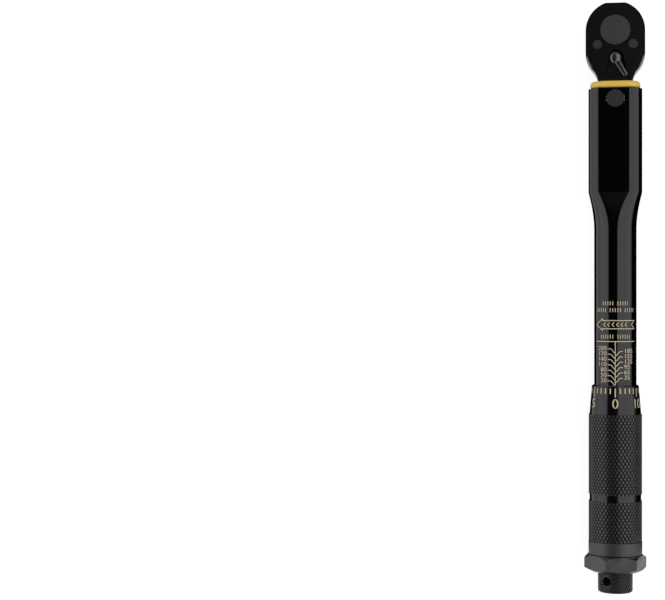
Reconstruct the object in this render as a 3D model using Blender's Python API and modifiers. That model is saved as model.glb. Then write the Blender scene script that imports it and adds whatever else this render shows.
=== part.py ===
"""Click-type micrometer torque wrench with a reversible ratchet head, in metres.

Y runs along the wrench, with the head towards +Y and the grip towards -Y. Z is up, with the reverse
lever on top. The origin is the centre of the square drive's end face, which points down.
"""

import math

import bmesh
import bpy
from mathutils import Vector

# Clearances and fineness
FIT = 0.0003
RUN = 0.0003
MERGE = 0.00001
OVERCUT = 0.001
ROUND_SIDES = 40
SMALL_SIDES = 20
TINY_SIDES = 12
ARC_STEPS = 6
FLAT_ANGLE = math.radians(0.1)

# Ratchet head
HEAD_WIDTH = 0.0280
HEAD_THICKNESS = 0.0136
HEAD_NOSE = 0.0132
HEAD_STRAIGHT = 0.0105
HEAD_RIM = 0.0008
RIM_SEGMENTS = 2
FLANK_RADIUS = 0.0126
FILLET_RADIUS = 0.0114
NECK_WIDTH = 0.0162
NECK_ANGLE = math.radians(12.0)
SHOULDER_LENGTH = 0.0068
BELLY_LENGTH = 0.0058
RIM_ANGLE = math.radians(60.0)
JOURNAL_ROOF = 0.0025
PAWL_ROOF = 0.0023

# Tail of the head, inside the tube
TAIL_ROOT_WIDTH = 0.0150
TAIL_ROOT_LENGTH = 0.0033
TAIL_END_WIDTH = 0.0100
TAIL_THICKNESS = 0.0074
TAIL_LENGTH = 0.0680

# Drive gear
SQUARE_DRIVE = 0.00635
SQUARE_LENGTH = 0.0075
SQUARE_CHAMFER = 0.0005
GEAR_TEETH = 36
GEAR_TIP_RADIUS = 0.00875
TOOTH_HEIGHT = 0.0009
JOURNAL_DIAMETER = 0.0143
LOWER_JOURNAL_DIAMETER = 0.0120
DETENT_DIAMETER = 0.0024
DETENT_PROUD = 0.0005
DETENT_HEIGHT = 0.0032
DETENT_DEPTH = 0.0044
DETENT_WIRE = 0.0003
DETENT_TURNS = 3

# Cover plate and its rivets
COVER_THICKNESS = 0.0020
COVER_INSET = 0.0015
COVER_FLANK = math.radians(36.0)
RIVET_X = 0.0084
RIVET_Y = -0.0069
RIVET_HEAD = 0.0045
RIVET_SHANK = 0.0020
RIVET_HEAD_DEPTH = 0.0010

# Reverse lever, its recess, spring plunger and clip
LEVER_Y = -0.0132
LEVER_REST = math.radians(30.0)
LEVER_LENGTH = 0.0102
LEVER_DOME = 0.0060
LEVER_DOME_HEIGHT = 0.0022
LEVER_ARM_WIDTH = 0.0028
LEVER_TIP_WIDTH = 0.0021
LEVER_ARM_HEIGHT = 0.0016
LEVER_ARM_BEVEL = 0.0006
LEVER_STEM = 0.0036
RECESS_DEPTH = 0.0022
RECESS_RADIUS = 0.0039
RECESS_MOUTH = 0.0144
CLIP_DIAMETER = 0.0058
CLIP_THICKNESS = 0.0005
CLIP_GROOVE = 0.0005
CLIP_OPENING = 0.0020
STEM_POINT = 0.0005
LEVER_PLUNGER = 0.0014
LEVER_PLUNGER_REACH = 0.00285
LEVER_PLUNGER_LENGTH = 0.0020
LEVER_BORE_DEPTH = 0.0031
LEVER_WIRE = 0.0002
LEVER_SPRING_TURNS = 3

# Double-ended pawl
PAWL_ROCK = math.radians(4.2)
PAWL_TEETH = 2
PAWL_FIRST_TOOTH = 2.5
PAWL_PAST_TOOTH = 0.25
HALF_PITCH = 0.5
PAWL_MESH_GAP = 0.0002
PAWL_FRONT_GAP = 0.00065
PAWL_HUB = 0.0066
PAWL_DEPTH = 0.00125
PAWL_WINDOW = math.radians(52.0)
PAWL_SWING_MARGIN = math.radians(2.5)

# Collar in the mouth of the tube
COLLAR_WIDTH = 0.0237
COLLAR_LENGTH = 0.0032
COLLAR_STEP = 0.0017
TONGUE_LENGTH = 0.0036
TONGUE_HEIGHT = 0.0040

# Tube
TUBE_DIAMETER = 0.0200
TUBE_WALL = 0.0015
FLAT_WIDTH = 0.0254
FLAT_THICKNESS = 0.0136
FLAT_LENGTH = 0.0493
FLARE_LENGTH = 0.0186
FLARE_SKEW = 0.6
FLARE_STEPS = 7
TUBE_LENGTH = 0.1843
PIVOT_INSET = 0.0049
PIVOT_DIAMETER = 0.0084
PIVOT_CHAMFER = 0.0003

# Click block and thrust plunger
BLOCK_LENGTH = 0.0050
BLOCK_END = 0.0040
BLOCK_WAIST = 0.0026
BLOCK_HEIGHT = 0.0060
BLOCK_POCKET_GAP = 0.0004
PLUNGER_LENGTH = 0.0120
STUB_LENGTH = 0.0050

# Main spring and what it pushes on
SPRING_LENGTH = 0.0460
SPRING_WIRE = 0.0024
SPRING_TURNS = 7
COIL_POINTS = 10
SEAT_LENGTH = 0.0050
WASHER_LENGTH = 0.0020
WASHER_BORE = 0.0050

# Adjusting screw and its nut
SCREW_DIAMETER = 0.0100
SCREW_BORE = 0.0046
SCREW_NOSE = 0.0044
SCREW_CHAMFER = 0.0010
SHOULDER_DIAMETER = 0.0160
SHOULDER_THICKNESS = 0.0030
NUT_LENGTH = 0.0180
NUT_INSET = 0.0005
NUT_PIN = 0.0030
NUT_PIN_INSET = 0.0090

# Grip sleeve, front to back
SLEEVE_OVERLAP = 0.0426
SLEEVE_FRONT_DIAMETER = 0.0222
CONE_LENGTH = 0.0139
CONE_DIAMETER = 0.0244
CONE_NOSE = 0.0004
KNURL_DIAMETER = 0.0252
FRONT_KNURL_LENGTH = 0.0381
GROOVE_LENGTH = 0.0033
GROOVE_DIAMETER = 0.0244
REAR_KNURL_LENGTH = 0.0191
RING_LENGTH = 0.0066
RING_DIAMETER = 0.0254
SLEEVE_WEB = 0.0117

# Hexagonal end nut
HEX_FLATS = 0.0260
HEX_THICKNESS = 0.0078
HEX_TURN = math.radians(18.0)
HEX_CHAMFER_DIAMETER = 0.0262
HEX_FRONT_CHAMFER = 0.0012
HEX_REAR_CHAMFER = 0.0018

# Lock knob, rod, wedge and set screw
KNOB_DIAMETER = 0.0165
KNOB_LENGTH = 0.0097
KNOB_ROUNDING = 0.0010
KNOB_BORE_DEPTH = 0.0070
ROD_DIAMETER = 0.0040
WEDGE_LENGTH = 0.0030
WEDGE_POINT = 0.0014
SET_SCREW = 0.0038
SET_SCREW_DEPTH = 0.0021
SET_SCREW_TURN = math.radians(32.0)
SET_SCREW_PLACE = 0.0040
SOCKET_FLATS = 0.0019
SOCKET_DEPTH = 0.0015

# Heights
Z_DRIVE = 0.0
Z_HEAD_BOTTOM = Z_DRIVE + SQUARE_LENGTH
Z_AXIS = Z_HEAD_BOTTOM + HEAD_THICKNESS / 2
Z_HEAD_TOP = Z_HEAD_BOTTOM + HEAD_THICKNESS
Z_COVER_TOP = Z_HEAD_BOTTOM + COVER_THICKNESS
Z_GEAR_ROOF = Z_HEAD_TOP - JOURNAL_ROOF
Z_RECESS = Z_HEAD_TOP - RECESS_DEPTH
Z_PAWL_ROOF = Z_RECESS - PAWL_ROOF
Z_PAWL_TOP = Z_PAWL_ROOF - RUN
Z_STEM_END = Z_COVER_TOP + RUN
Z_CLIP_TOP = Z_STEM_END + STEM_POINT + CLIP_THICKNESS
Z_PAWL_BOTTOM = Z_CLIP_TOP + RUN

# Half sizes of the tube, round and flattened, and of the tail inside it
TUBE_RADIUS = TUBE_DIAMETER / 2
TUBE_BORE = TUBE_RADIUS - TUBE_WALL
FLAT_HALF = FLAT_WIDTH / 2
FLAT_RISE = FLAT_THICKNESS / 2
SECTION_RISE = FLAT_RISE * math.cos(math.pi / ROUND_SIDES)
BORE_RISE = (FLAT_RISE - TUBE_WALL) * math.cos(math.pi / ROUND_SIDES)
TAIL_RISE = TAIL_THICKNESS / 2

# Stations along the wrench, head to knob
FLANK_DROP = (HEAD_WIDTH - NECK_WIDTH) / 2
FLANK_ANGLE = math.acos(
    (FLANK_RADIUS + FILLET_RADIUS * math.cos(NECK_ANGLE) - FLANK_DROP) / (FLANK_RADIUS + FILLET_RADIUS)
)
NECK_Y = (
    FILLET_RADIUS * math.sin(NECK_ANGLE)
    - (FLANK_RADIUS + FILLET_RADIUS) * math.sin(FLANK_ANGLE)
    - HEAD_STRAIGHT
)
COLLAR_REAR = NECK_Y - COLLAR_LENGTH
TUBE_FRONT = COLLAR_REAR - FIT
PIVOT_Y = TUBE_FRONT - PIVOT_INSET
FLAT_END = TUBE_FRONT - FLAT_LENGTH
TUBE_REAR = TUBE_FRONT - TUBE_LENGTH
TAIL_END = PIVOT_Y - TAIL_LENGTH
PLUNGER_FRONT = TAIL_END - BLOCK_LENGTH
PLUNGER_REAR = PLUNGER_FRONT - PLUNGER_LENGTH
SPRING_FRONT = PLUNGER_REAR - FIT
SPRING_REAR = SPRING_FRONT - SPRING_LENGTH
SEAT_FRONT = SPRING_REAR - FIT
SEAT_REAR = SEAT_FRONT - SEAT_LENGTH
WASHER_FRONT = SEAT_REAR - FIT
WASHER_REAR = WASHER_FRONT - WASHER_LENGTH
SCREW_FRONT = WASHER_REAR - RUN
NUT_REAR = TUBE_REAR + NUT_INSET
NUT_FRONT = NUT_REAR + NUT_LENGTH
SLEEVE_FRONT = TUBE_REAR + SLEEVE_OVERLAP
CONE_END = SLEEVE_FRONT - CONE_LENGTH
GROOVE_FRONT = CONE_END - FRONT_KNURL_LENGTH
GROOVE_REAR = GROOVE_FRONT - GROOVE_LENGTH
RING_FRONT = GROOVE_REAR - REAR_KNURL_LENGTH
SLEEVE_REAR = RING_FRONT - RING_LENGTH
WEB_FRONT = SLEEVE_REAR + SLEEVE_WEB
SHOULDER_REAR = WEB_FRONT + FIT
SHOULDER_FRONT = SHOULDER_REAR + SHOULDER_THICKNESS
HEX_FRONT = SLEEVE_REAR - FIT
HEX_REAR = HEX_FRONT - HEX_THICKNESS
KNOB_FRONT = HEX_REAR - RUN
KNOB_REAR = KNOB_FRONT - KNOB_LENGTH
SET_SCREW_Y = KNOB_FRONT - SET_SCREW_PLACE
WEDGE_FRONT = SCREW_FRONT - SCREW_NOSE - RUN
WEDGE_REAR = WEDGE_FRONT - WEDGE_LENGTH
ROD_FRONT = WEDGE_REAR - RUN
ROD_REAR = KNOB_FRONT - KNOB_BORE_DEPTH + FIT

# Turns an upright piece so that its top points towards the head
ALONG_WRENCH = (-math.pi / 2, 0.0, 0.0)
ACROSS_WRENCH = (math.pi / 2, 0.0, math.pi / 2)
UPRIGHT = (math.pi / 2, 0.0, 0.0)

for old in list(bpy.data.objects):
    bpy.data.objects.remove(old)

WRENCH = bpy.data.collections.new("torque_wrench")
CUTTERS = bpy.data.collections.new("cutters")
bpy.context.scene.collection.children.link(WRENCH)
bpy.context.scene.collection.children.link(CUTTERS)


def finish_of(name, colour, roughness, metallic):
    """A material with a plain colour and gloss."""
    material = bpy.data.materials.new(name)
    material.use_nodes = True
    shader = material.node_tree.nodes["Principled BSDF"]
    shader.inputs["Base Color"].default_value = (*colour, 1.0)
    shader.inputs["Roughness"].default_value = roughness
    shader.inputs["Metallic"].default_value = metallic
    return material


FINISHES = {
    "black_enamel": ((0.006, 0.006, 0.006), 0.25, 0.0),
    "dark_steel": ((0.06, 0.06, 0.06), 0.45, 1.0),
    "grey_steel": ((0.30, 0.30, 0.31), 0.35, 1.0),
    "bright_steel": ((0.55, 0.55, 0.56), 0.25, 1.0),
    "spring_steel": ((0.20, 0.20, 0.21), 0.30, 1.0),
    "yellow_plastic": ((0.68, 0.40, 0.05), 0.35, 0.0),
    "black_grip": ((0.03, 0.03, 0.03), 0.50, 1.0),
}


def body_at(name, place, parent=None):
    """An empty on a moving body's joint axis."""
    empty = bpy.data.objects.new(name, None)
    WRENCH.objects.link(empty)
    empty.empty_display_size = TUBE_RADIUS
    empty.parent = parent
    origin = Vector(parent["place"]) if parent else Vector()
    empty["place"] = place
    empty.location = Vector(place) - origin
    return empty


def add_piece(piece, finish, body=None, turn=None):
    """Puts a finished piece in the wrench, on its body, with a material of its own."""
    WRENCH.objects.link(piece)
    piece.data.materials.append(finish_of(piece.name, *FINISHES[finish]))
    if turn is not None:
        piece.rotation_euler = turn
    if body is not None:
        piece.parent = body
        piece.location = piece.location - Vector(body["place"])
    return piece


def shape(piece, tool, operation="DIFFERENCE"):
    """Cuts a piece with a tool, or joins the tool to it."""
    CUTTERS.objects.link(tool)
    tool.hide_render = True
    tool.display_type = "WIRE"
    step = piece.modifiers.new(tool.name, "BOOLEAN")
    step.operation = operation
    step.solver = "EXACT"
    step.object = tool


def polar(radius, angle, centre=(0.0, 0.0)):
    """A point on a circle, at an angle from +X."""
    return (centre[0] + radius * math.cos(angle), centre[1] + radius * math.sin(angle))


def arc(centre, radius, start, end, steps=ARC_STEPS):
    """Points along an arc, with both ends."""
    return [polar(radius, start + (end - start) * i / steps, centre) for i in range(steps + 1)]


def mirrored(side):
    """A closed outline from its right side, listed from front to back."""
    left = [(-x, y) for x, y in reversed(side) if abs(x) > MERGE]
    return side + left


def solid_from(curve_object):
    """A welded mesh object in place of a curve object."""
    bpy.context.scene.collection.objects.link(curve_object)
    graph = bpy.context.evaluated_depsgraph_get()
    mesh = bpy.data.meshes.new_from_object(curve_object.evaluated_get(graph))
    welded = bmesh.new()
    welded.from_mesh(mesh)
    bmesh.ops.remove_doubles(welded, verts=welded.verts, dist=MERGE)
    bmesh.ops.recalc_face_normals(welded, faces=welded.faces)
    bmesh.ops.dissolve_limit(welded, angle_limit=FLAT_ANGLE, verts=welded.verts, edges=welded.edges)
    welded.to_mesh(mesh)
    welded.free()
    name = curve_object.name
    place = curve_object.matrix_world.copy()
    curve = curve_object.data
    bpy.data.objects.remove(curve_object)
    bpy.data.curves.remove(curve)
    solid = bpy.data.objects.new(name, mesh)
    solid.matrix_world = place
    return solid


def prism(name, outlines, low, high):
    """A flat outline, with any holes after it, as a solid between two heights."""
    curve = bpy.data.curves.new(name, "CURVE")
    curve.dimensions = "2D"
    curve.fill_mode = "BOTH"
    curve.extrude = (high - low) / 2
    for outline in outlines:
        spline = curve.splines.new("POLY")
        spline.points.add(len(outline) - 1)
        for point, (x, y) in zip(spline.points, outline):
            point.co = (x, y, 0.0, 1.0)
        spline.use_cyclic_u = True
    solid = solid_from(bpy.data.objects.new(name, curve))
    solid.location.z = (low + high) / 2
    return solid


def turned(name, profile, sides, place=(0.0, 0.0, 0.0)):
    """A turned piece from (radius, height) points down its outer side, closed if it has a bore."""
    mesh = bpy.data.meshes.new(name)
    edges = [(i, i + 1) for i in range(len(profile) - 1)]
    if profile[0][0] > 0:
        edges.append((len(profile) - 1, 0))
    mesh.from_pydata([(radius, 0.0, height) for radius, height in profile], edges, [])
    piece = bpy.data.objects.new(name, mesh)
    lathe = piece.modifiers.new("Lathe", "SCREW")
    lathe.steps = sides
    lathe.render_steps = sides
    lathe.use_merge_vertices = True
    lathe.merge_threshold = MERGE
    lathe.use_smooth_shade = True
    piece.location = place
    return piece


def rod_profile(radius, top, bottom):
    """Outer side of a plain cylinder."""
    return [(0.0, top), (radius, top), (radius, bottom), (0.0, bottom)]


def ring_profile(outer, inner, top, bottom):
    """Section of a plain ring."""
    return [(outer, top), (outer, bottom), (inner, bottom), (inner, top)]


def coil(name, mean_radius, wire, length, turns, place):
    """A helical spring standing on its place, with both wire ends inside its length."""
    curve = bpy.data.curves.new(name, "CURVE")
    curve.dimensions = "3D"
    curve.bevel_depth = wire / 2
    curve.bevel_resolution = 1
    curve.use_fill_caps = True
    spline = curve.splines.new("POLY")
    count = turns * COIL_POINTS
    spline.points.add(count)
    for i, point in enumerate(spline.points):
        angle = 2 * math.pi * i / COIL_POINTS
        height = wire / 2 + (length - wire) * i / count
        point.co = (mean_radius * math.cos(angle), mean_radius * math.sin(angle), height, 1.0)
    solid = solid_from(bpy.data.objects.new(name, curve))
    solid.location = place
    return solid


AXIS = (0.0, 0.0, Z_AXIS)

# Bodies, each on its joint's axis
head = body_at("head_pivot", (0.0, PIVOT_Y, Z_AXIS))
drive = body_at("drive_axis", (0.0, 0.0, Z_DRIVE), head)
lever = body_at("lever_axis", (0.0, LEVER_Y, Z_RECESS), head)
pawl_body = body_at("pawl_axis", (0.0, LEVER_Y, Z_PAWL_BOTTOM), head)
block_body = body_at("block_axis", (0.0, TAIL_END, Z_AXIS), head)
plunger_body = body_at("plunger_axis", (0.0, PLUNGER_FRONT, Z_AXIS))
seat_body = body_at("seat_axis", (0.0, SEAT_FRONT, Z_AXIS))
grip = body_at("grip_axis", (0.0, SLEEVE_FRONT, Z_AXIS), seat_body)
wedge_body = body_at("wedge_axis", (0.0, WEDGE_FRONT, Z_AXIS), grip)
knob_body = body_at("knob_axis", (0.0, KNOB_FRONT, Z_AXIS), wedge_body)


def head_side(inset, flank_end):
    """Right side of the head's outline from the nose to an angle on its flank, set in from its edge."""
    radius = HEAD_WIDTH / 2 - inset
    flank_centre = (HEAD_WIDTH / 2 - FLANK_RADIUS, -HEAD_STRAIGHT)
    nose = arc((0.0, 0.0), radius, math.asin((HEAD_NOSE - inset) / radius), 0.0)
    return nose + arc(flank_centre, FLANK_RADIUS - inset, 0.0, -flank_end)


def gear_point(radius, teeth_from_rear):
    """A point on the gear, counted in teeth from the side that faces the pawl, towards +X."""
    return polar(radius, teeth_from_rear * 2 * math.pi / GEAR_TEETH - math.pi / 2)


def about_lever(point, angle):
    """A point turned about the lever's axis."""
    x = point[0]
    y = point[1] - LEVER_Y
    cosine = math.cos(angle)
    sine = math.sin(angle)
    return (x * cosine - y * sine, x * sine + y * cosine + LEVER_Y)


def grown_from_lever(point, margin):
    """A point moved away from the lever's axis."""
    reach = math.hypot(point[0], point[1] - LEVER_Y)
    share = 1 + margin / reach
    return (point[0] * share, LEVER_Y + (point[1] - LEVER_Y) * share)


GEAR_ROOT_RADIUS = GEAR_TIP_RADIUS - TOOTH_HEIGHT
PAWL_END_TOOTH = PAWL_FIRST_TOOTH + PAWL_TEETH - 1
PAWL_TIP = gear_point(GEAR_TIP_RADIUS + PAWL_DEPTH, PAWL_END_TOOTH + PAWL_PAST_TOOTH)


def make_head():
    """Housing, neck and tail in one, hollowed from below for the gear and the pawl."""
    fillet_centre = polar(
        FLANK_RADIUS + FILLET_RADIUS, -FLANK_ANGLE, (HEAD_WIDTH / 2 - FLANK_RADIUS, -HEAD_STRAIGHT)
    )
    fillet = arc(fillet_centre, FILLET_RADIUS, math.pi - FLANK_ANGLE, math.pi - NECK_ANGLE)
    tail = [
        (TAIL_ROOT_WIDTH / 2, NECK_Y - TAIL_ROOT_LENGTH),
        (TAIL_ROOT_WIDTH / 2, PIVOT_Y - PIVOT_DIAMETER),
        (TAIL_END_WIDTH / 2, TAIL_END),
    ]
    side = head_side(0.0, FLANK_ANGLE) + fillet[1:] + tail
    piece = prism("ratchet_head", [mirrored(side)], Z_HEAD_BOTTOM, Z_HEAD_TOP)
    rim = piece.modifiers.new("Rim", "BEVEL")
    rim.limit_method = "ANGLE"
    rim.angle_limit = RIM_ANGLE
    rim.width = HEAD_RIM
    rim.segments = RIM_SEGMENTS
    # Slopes from the full thickness down to the tail's, above and below
    top = Z_AXIS + TAIL_RISE
    above = Z_HEAD_TOP + OVERCUT
    slope_top = [
        (NECK_Y + SHOULDER_LENGTH, Z_HEAD_TOP),
        (NECK_Y + SHOULDER_LENGTH, above),
        (TAIL_END - OVERCUT, above),
        (TAIL_END - OVERCUT, top),
        (NECK_Y, top),
    ]
    bottom = Z_AXIS - TAIL_RISE
    below = Z_HEAD_BOTTOM - OVERCUT
    slope_bottom = [
        (NECK_Y + BELLY_LENGTH, Z_HEAD_BOTTOM),
        (NECK_Y, bottom),
        (TAIL_END - OVERCUT, bottom),
        (TAIL_END - OVERCUT, below),
        (NECK_Y + BELLY_LENGTH, below),
    ]
    for name, outline in (("cut_shoulder", slope_top), ("cut_belly", slope_bottom)):
        wedge = prism(name, [outline], -HEAD_WIDTH, HEAD_WIDTH)
        wedge.location = (0.0, 0.0, 0.0)
        wedge.rotation_euler = ACROSS_WRENCH
        shape(piece, wedge)
    # Recess for the lever, a keyhole that widens towards the neck
    keyhole = arc((0.0, LEVER_Y), RECESS_RADIUS, math.pi / 2, 0.0)
    keyhole.append((RECESS_MOUTH / 2, NECK_Y - OVERCUT))
    shape(piece, prism("cut_recess", [mirrored(keyhole)], Z_RECESS, above))
    # Cover plate's seat, gear chamber and pawl chamber, open below
    seat = mirrored(head_side(COVER_INSET, COVER_FLANK))
    shape(piece, prism("cut_cover_seat", [seat], below, Z_COVER_TOP))
    chamber = rod_profile(GEAR_TIP_RADIUS + RUN, Z_GEAR_ROOF, below)
    shape(piece, turned("cut_gear_chamber", chamber, ROUND_SIDES))
    journal = rod_profile(JOURNAL_DIAMETER / 2 + RUN, above, below)
    shape(piece, turned("cut_journal", journal, ROUND_SIDES))
    outer = about_lever(PAWL_TIP, -2 * PAWL_ROCK - PAWL_SWING_MARGIN)
    room = [
        (0.0, -GEAR_ROOT_RADIUS),
        gear_point(GEAR_ROOT_RADIUS, PAWL_END_TOOTH + 1),
        grown_from_lever(PAWL_TIP, RUN),
        grown_from_lever(outer, RUN),
    ]
    room += arc((0.0, LEVER_Y), PAWL_HUB / 2 + RUN, 0.0, -math.pi / 2)
    shape(piece, prism("cut_pawl_chamber", [mirrored(room)], below, Z_PAWL_ROOF))
    # Bores for the lever's stem, the rivets, the pivot pin and the click block
    stem = rod_profile(LEVER_STEM / 2 + RUN, above, below)
    shape(piece, turned("cut_stem", stem, SMALL_SIDES, (0.0, LEVER_Y, 0.0)))
    for side_name, x in (("left", -RIVET_X), ("right", RIVET_X)):
        hole = [
            (0.0, above),
            (RIVET_HEAD / 2 + FIT, above),
            (RIVET_HEAD / 2 + FIT, Z_HEAD_TOP - RIVET_HEAD_DEPTH - FIT),
            (RIVET_SHANK / 2 + FIT, Z_HEAD_TOP - RIVET_HEAD_DEPTH - FIT),
            (RIVET_SHANK / 2 + FIT, below),
            (0.0, below),
        ]
        shape(piece, turned("cut_rivet_" + side_name, hole, SMALL_SIDES, (x, RIVET_Y, 0.0)))
    pivot = rod_profile(PIVOT_DIAMETER / 2 + RUN, above, below)
    shape(piece, turned("cut_tail_pivot", pivot, ROUND_SIDES, (0.0, PIVOT_Y, 0.0)))
    pocket = rod_profile(BLOCK_END / 2 + BLOCK_POCKET_GAP, above, below)
    shape(piece, turned("cut_tail_pocket", pocket, SMALL_SIDES, (0.0, TAIL_END, 0.0)))
    add_piece(piece, "black_enamel", head)


def make_cover():
    """Back plate of the ratchet head, and the two rivets through it."""
    outline = mirrored(head_side(COVER_INSET + FIT, COVER_FLANK - FIT / FLANK_RADIUS))
    plate = prism("cover_plate", [outline], Z_HEAD_BOTTOM, Z_COVER_TOP - FIT)
    above = Z_COVER_TOP + OVERCUT
    below = Z_HEAD_BOTTOM - OVERCUT
    bore = rod_profile(LOWER_JOURNAL_DIAMETER / 2 + RUN, above, below)
    shape(plate, turned("cut_cover_bore", bore, ROUND_SIDES))
    seat = Z_HEAD_BOTTOM + RIVET_HEAD_DEPTH
    for name, x in (("left", -RIVET_X), ("right", RIVET_X)):
        place = (x, RIVET_Y, 0.0)
        hole = [
            (0.0, above),
            (RIVET_SHANK / 2 + FIT, above),
            (RIVET_SHANK / 2 + FIT, seat + FIT),
            (RIVET_HEAD / 2 + FIT, seat + FIT),
            (RIVET_HEAD / 2 + FIT, below),
            (0.0, below),
        ]
        shape(plate, turned("cut_cover_" + name, hole, SMALL_SIDES, place))
        rivet = [
            (0.0, Z_HEAD_TOP),
            (RIVET_HEAD / 2, Z_HEAD_TOP),
            (RIVET_HEAD / 2, Z_HEAD_TOP - RIVET_HEAD_DEPTH),
            (RIVET_SHANK / 2, Z_HEAD_TOP - RIVET_HEAD_DEPTH),
            (RIVET_SHANK / 2, seat),
            (RIVET_HEAD / 2, seat),
            (RIVET_HEAD / 2, Z_HEAD_BOTTOM),
            (0.0, Z_HEAD_BOTTOM),
        ]
        add_piece(turned("cover_rivet_" + name, rivet, SMALL_SIDES, place), "dark_steel", head)
    add_piece(plate, "black_enamel", head)


def make_drive():
    """Toothed gear with a journal above, a journal and the square drive below, and the ball detent."""
    teeth = []
    for tooth in range(GEAR_TEETH):
        teeth.append(gear_point(GEAR_TIP_RADIUS, tooth))
        teeth.append(gear_point(GEAR_ROOT_RADIUS, tooth + HALF_PITCH))
    bottom = Z_COVER_TOP + RUN
    top = Z_GEAR_ROOF - RUN
    gear = prism("drive_gear", [teeth], bottom, top)
    upper = rod_profile(JOURNAL_DIAMETER / 2, Z_HEAD_TOP, (top + bottom) / 2)
    shape(gear, turned("join_journal", upper, ROUND_SIDES), "UNION")
    lower = rod_profile(LOWER_JOURNAL_DIAMETER / 2, (top + bottom) / 2, Z_HEAD_BOTTOM)
    shape(gear, turned("join_lower_journal", lower, ROUND_SIDES), "UNION")
    half = SQUARE_DRIVE / 2
    corners = [(half, half), (half, -half), (-half, -half), (-half, half)]
    square = prism("join_square", [corners], Z_DRIVE, bottom)
    edges = square.modifiers.new("Chamfer", "BEVEL")
    edges.width = SQUARE_CHAMFER
    edges.segments = 1
    shape(gear, square, "UNION")
    ball_y = half + DETENT_PROUD - DETENT_DIAMETER / 2
    bore_end = half - DETENT_DEPTH
    bore = rod_profile(DETENT_DIAMETER / 2 + RUN, half + OVERCUT, bore_end)
    hole = turned("cut_detent", bore, SMALL_SIDES, (0.0, 0.0, DETENT_HEIGHT))
    hole.rotation_euler = ALONG_WRENCH
    shape(gear, hole)
    add_piece(gear, "dark_steel", drive)
    length = ball_y - DETENT_DIAMETER / 2 - FIT - bore_end - FIT
    mean = (DETENT_DIAMETER - DETENT_WIRE) / 2 - FIT
    foot = (0.0, bore_end + FIT, DETENT_HEIGHT)
    spring = coil("detent_spring", mean, DETENT_WIRE, length, DETENT_TURNS, foot)
    add_piece(spring, "spring_steel", drive, ALONG_WRENCH)
    sphere = bmesh.new()
    bmesh.ops.create_uvsphere(
        sphere, u_segments=TINY_SIDES, v_segments=ARC_STEPS, radius=DETENT_DIAMETER / 2
    )
    mesh = bpy.data.meshes.new("detent_ball")
    sphere.to_mesh(mesh)
    sphere.free()
    mesh.shade_smooth()
    ball = bpy.data.objects.new("detent_ball", mesh)
    ball.location = (0.0, ball_y, DETENT_HEIGHT)
    add_piece(ball, "bright_steel", body_at("detent_axis", tuple(ball.location), drive))


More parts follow.
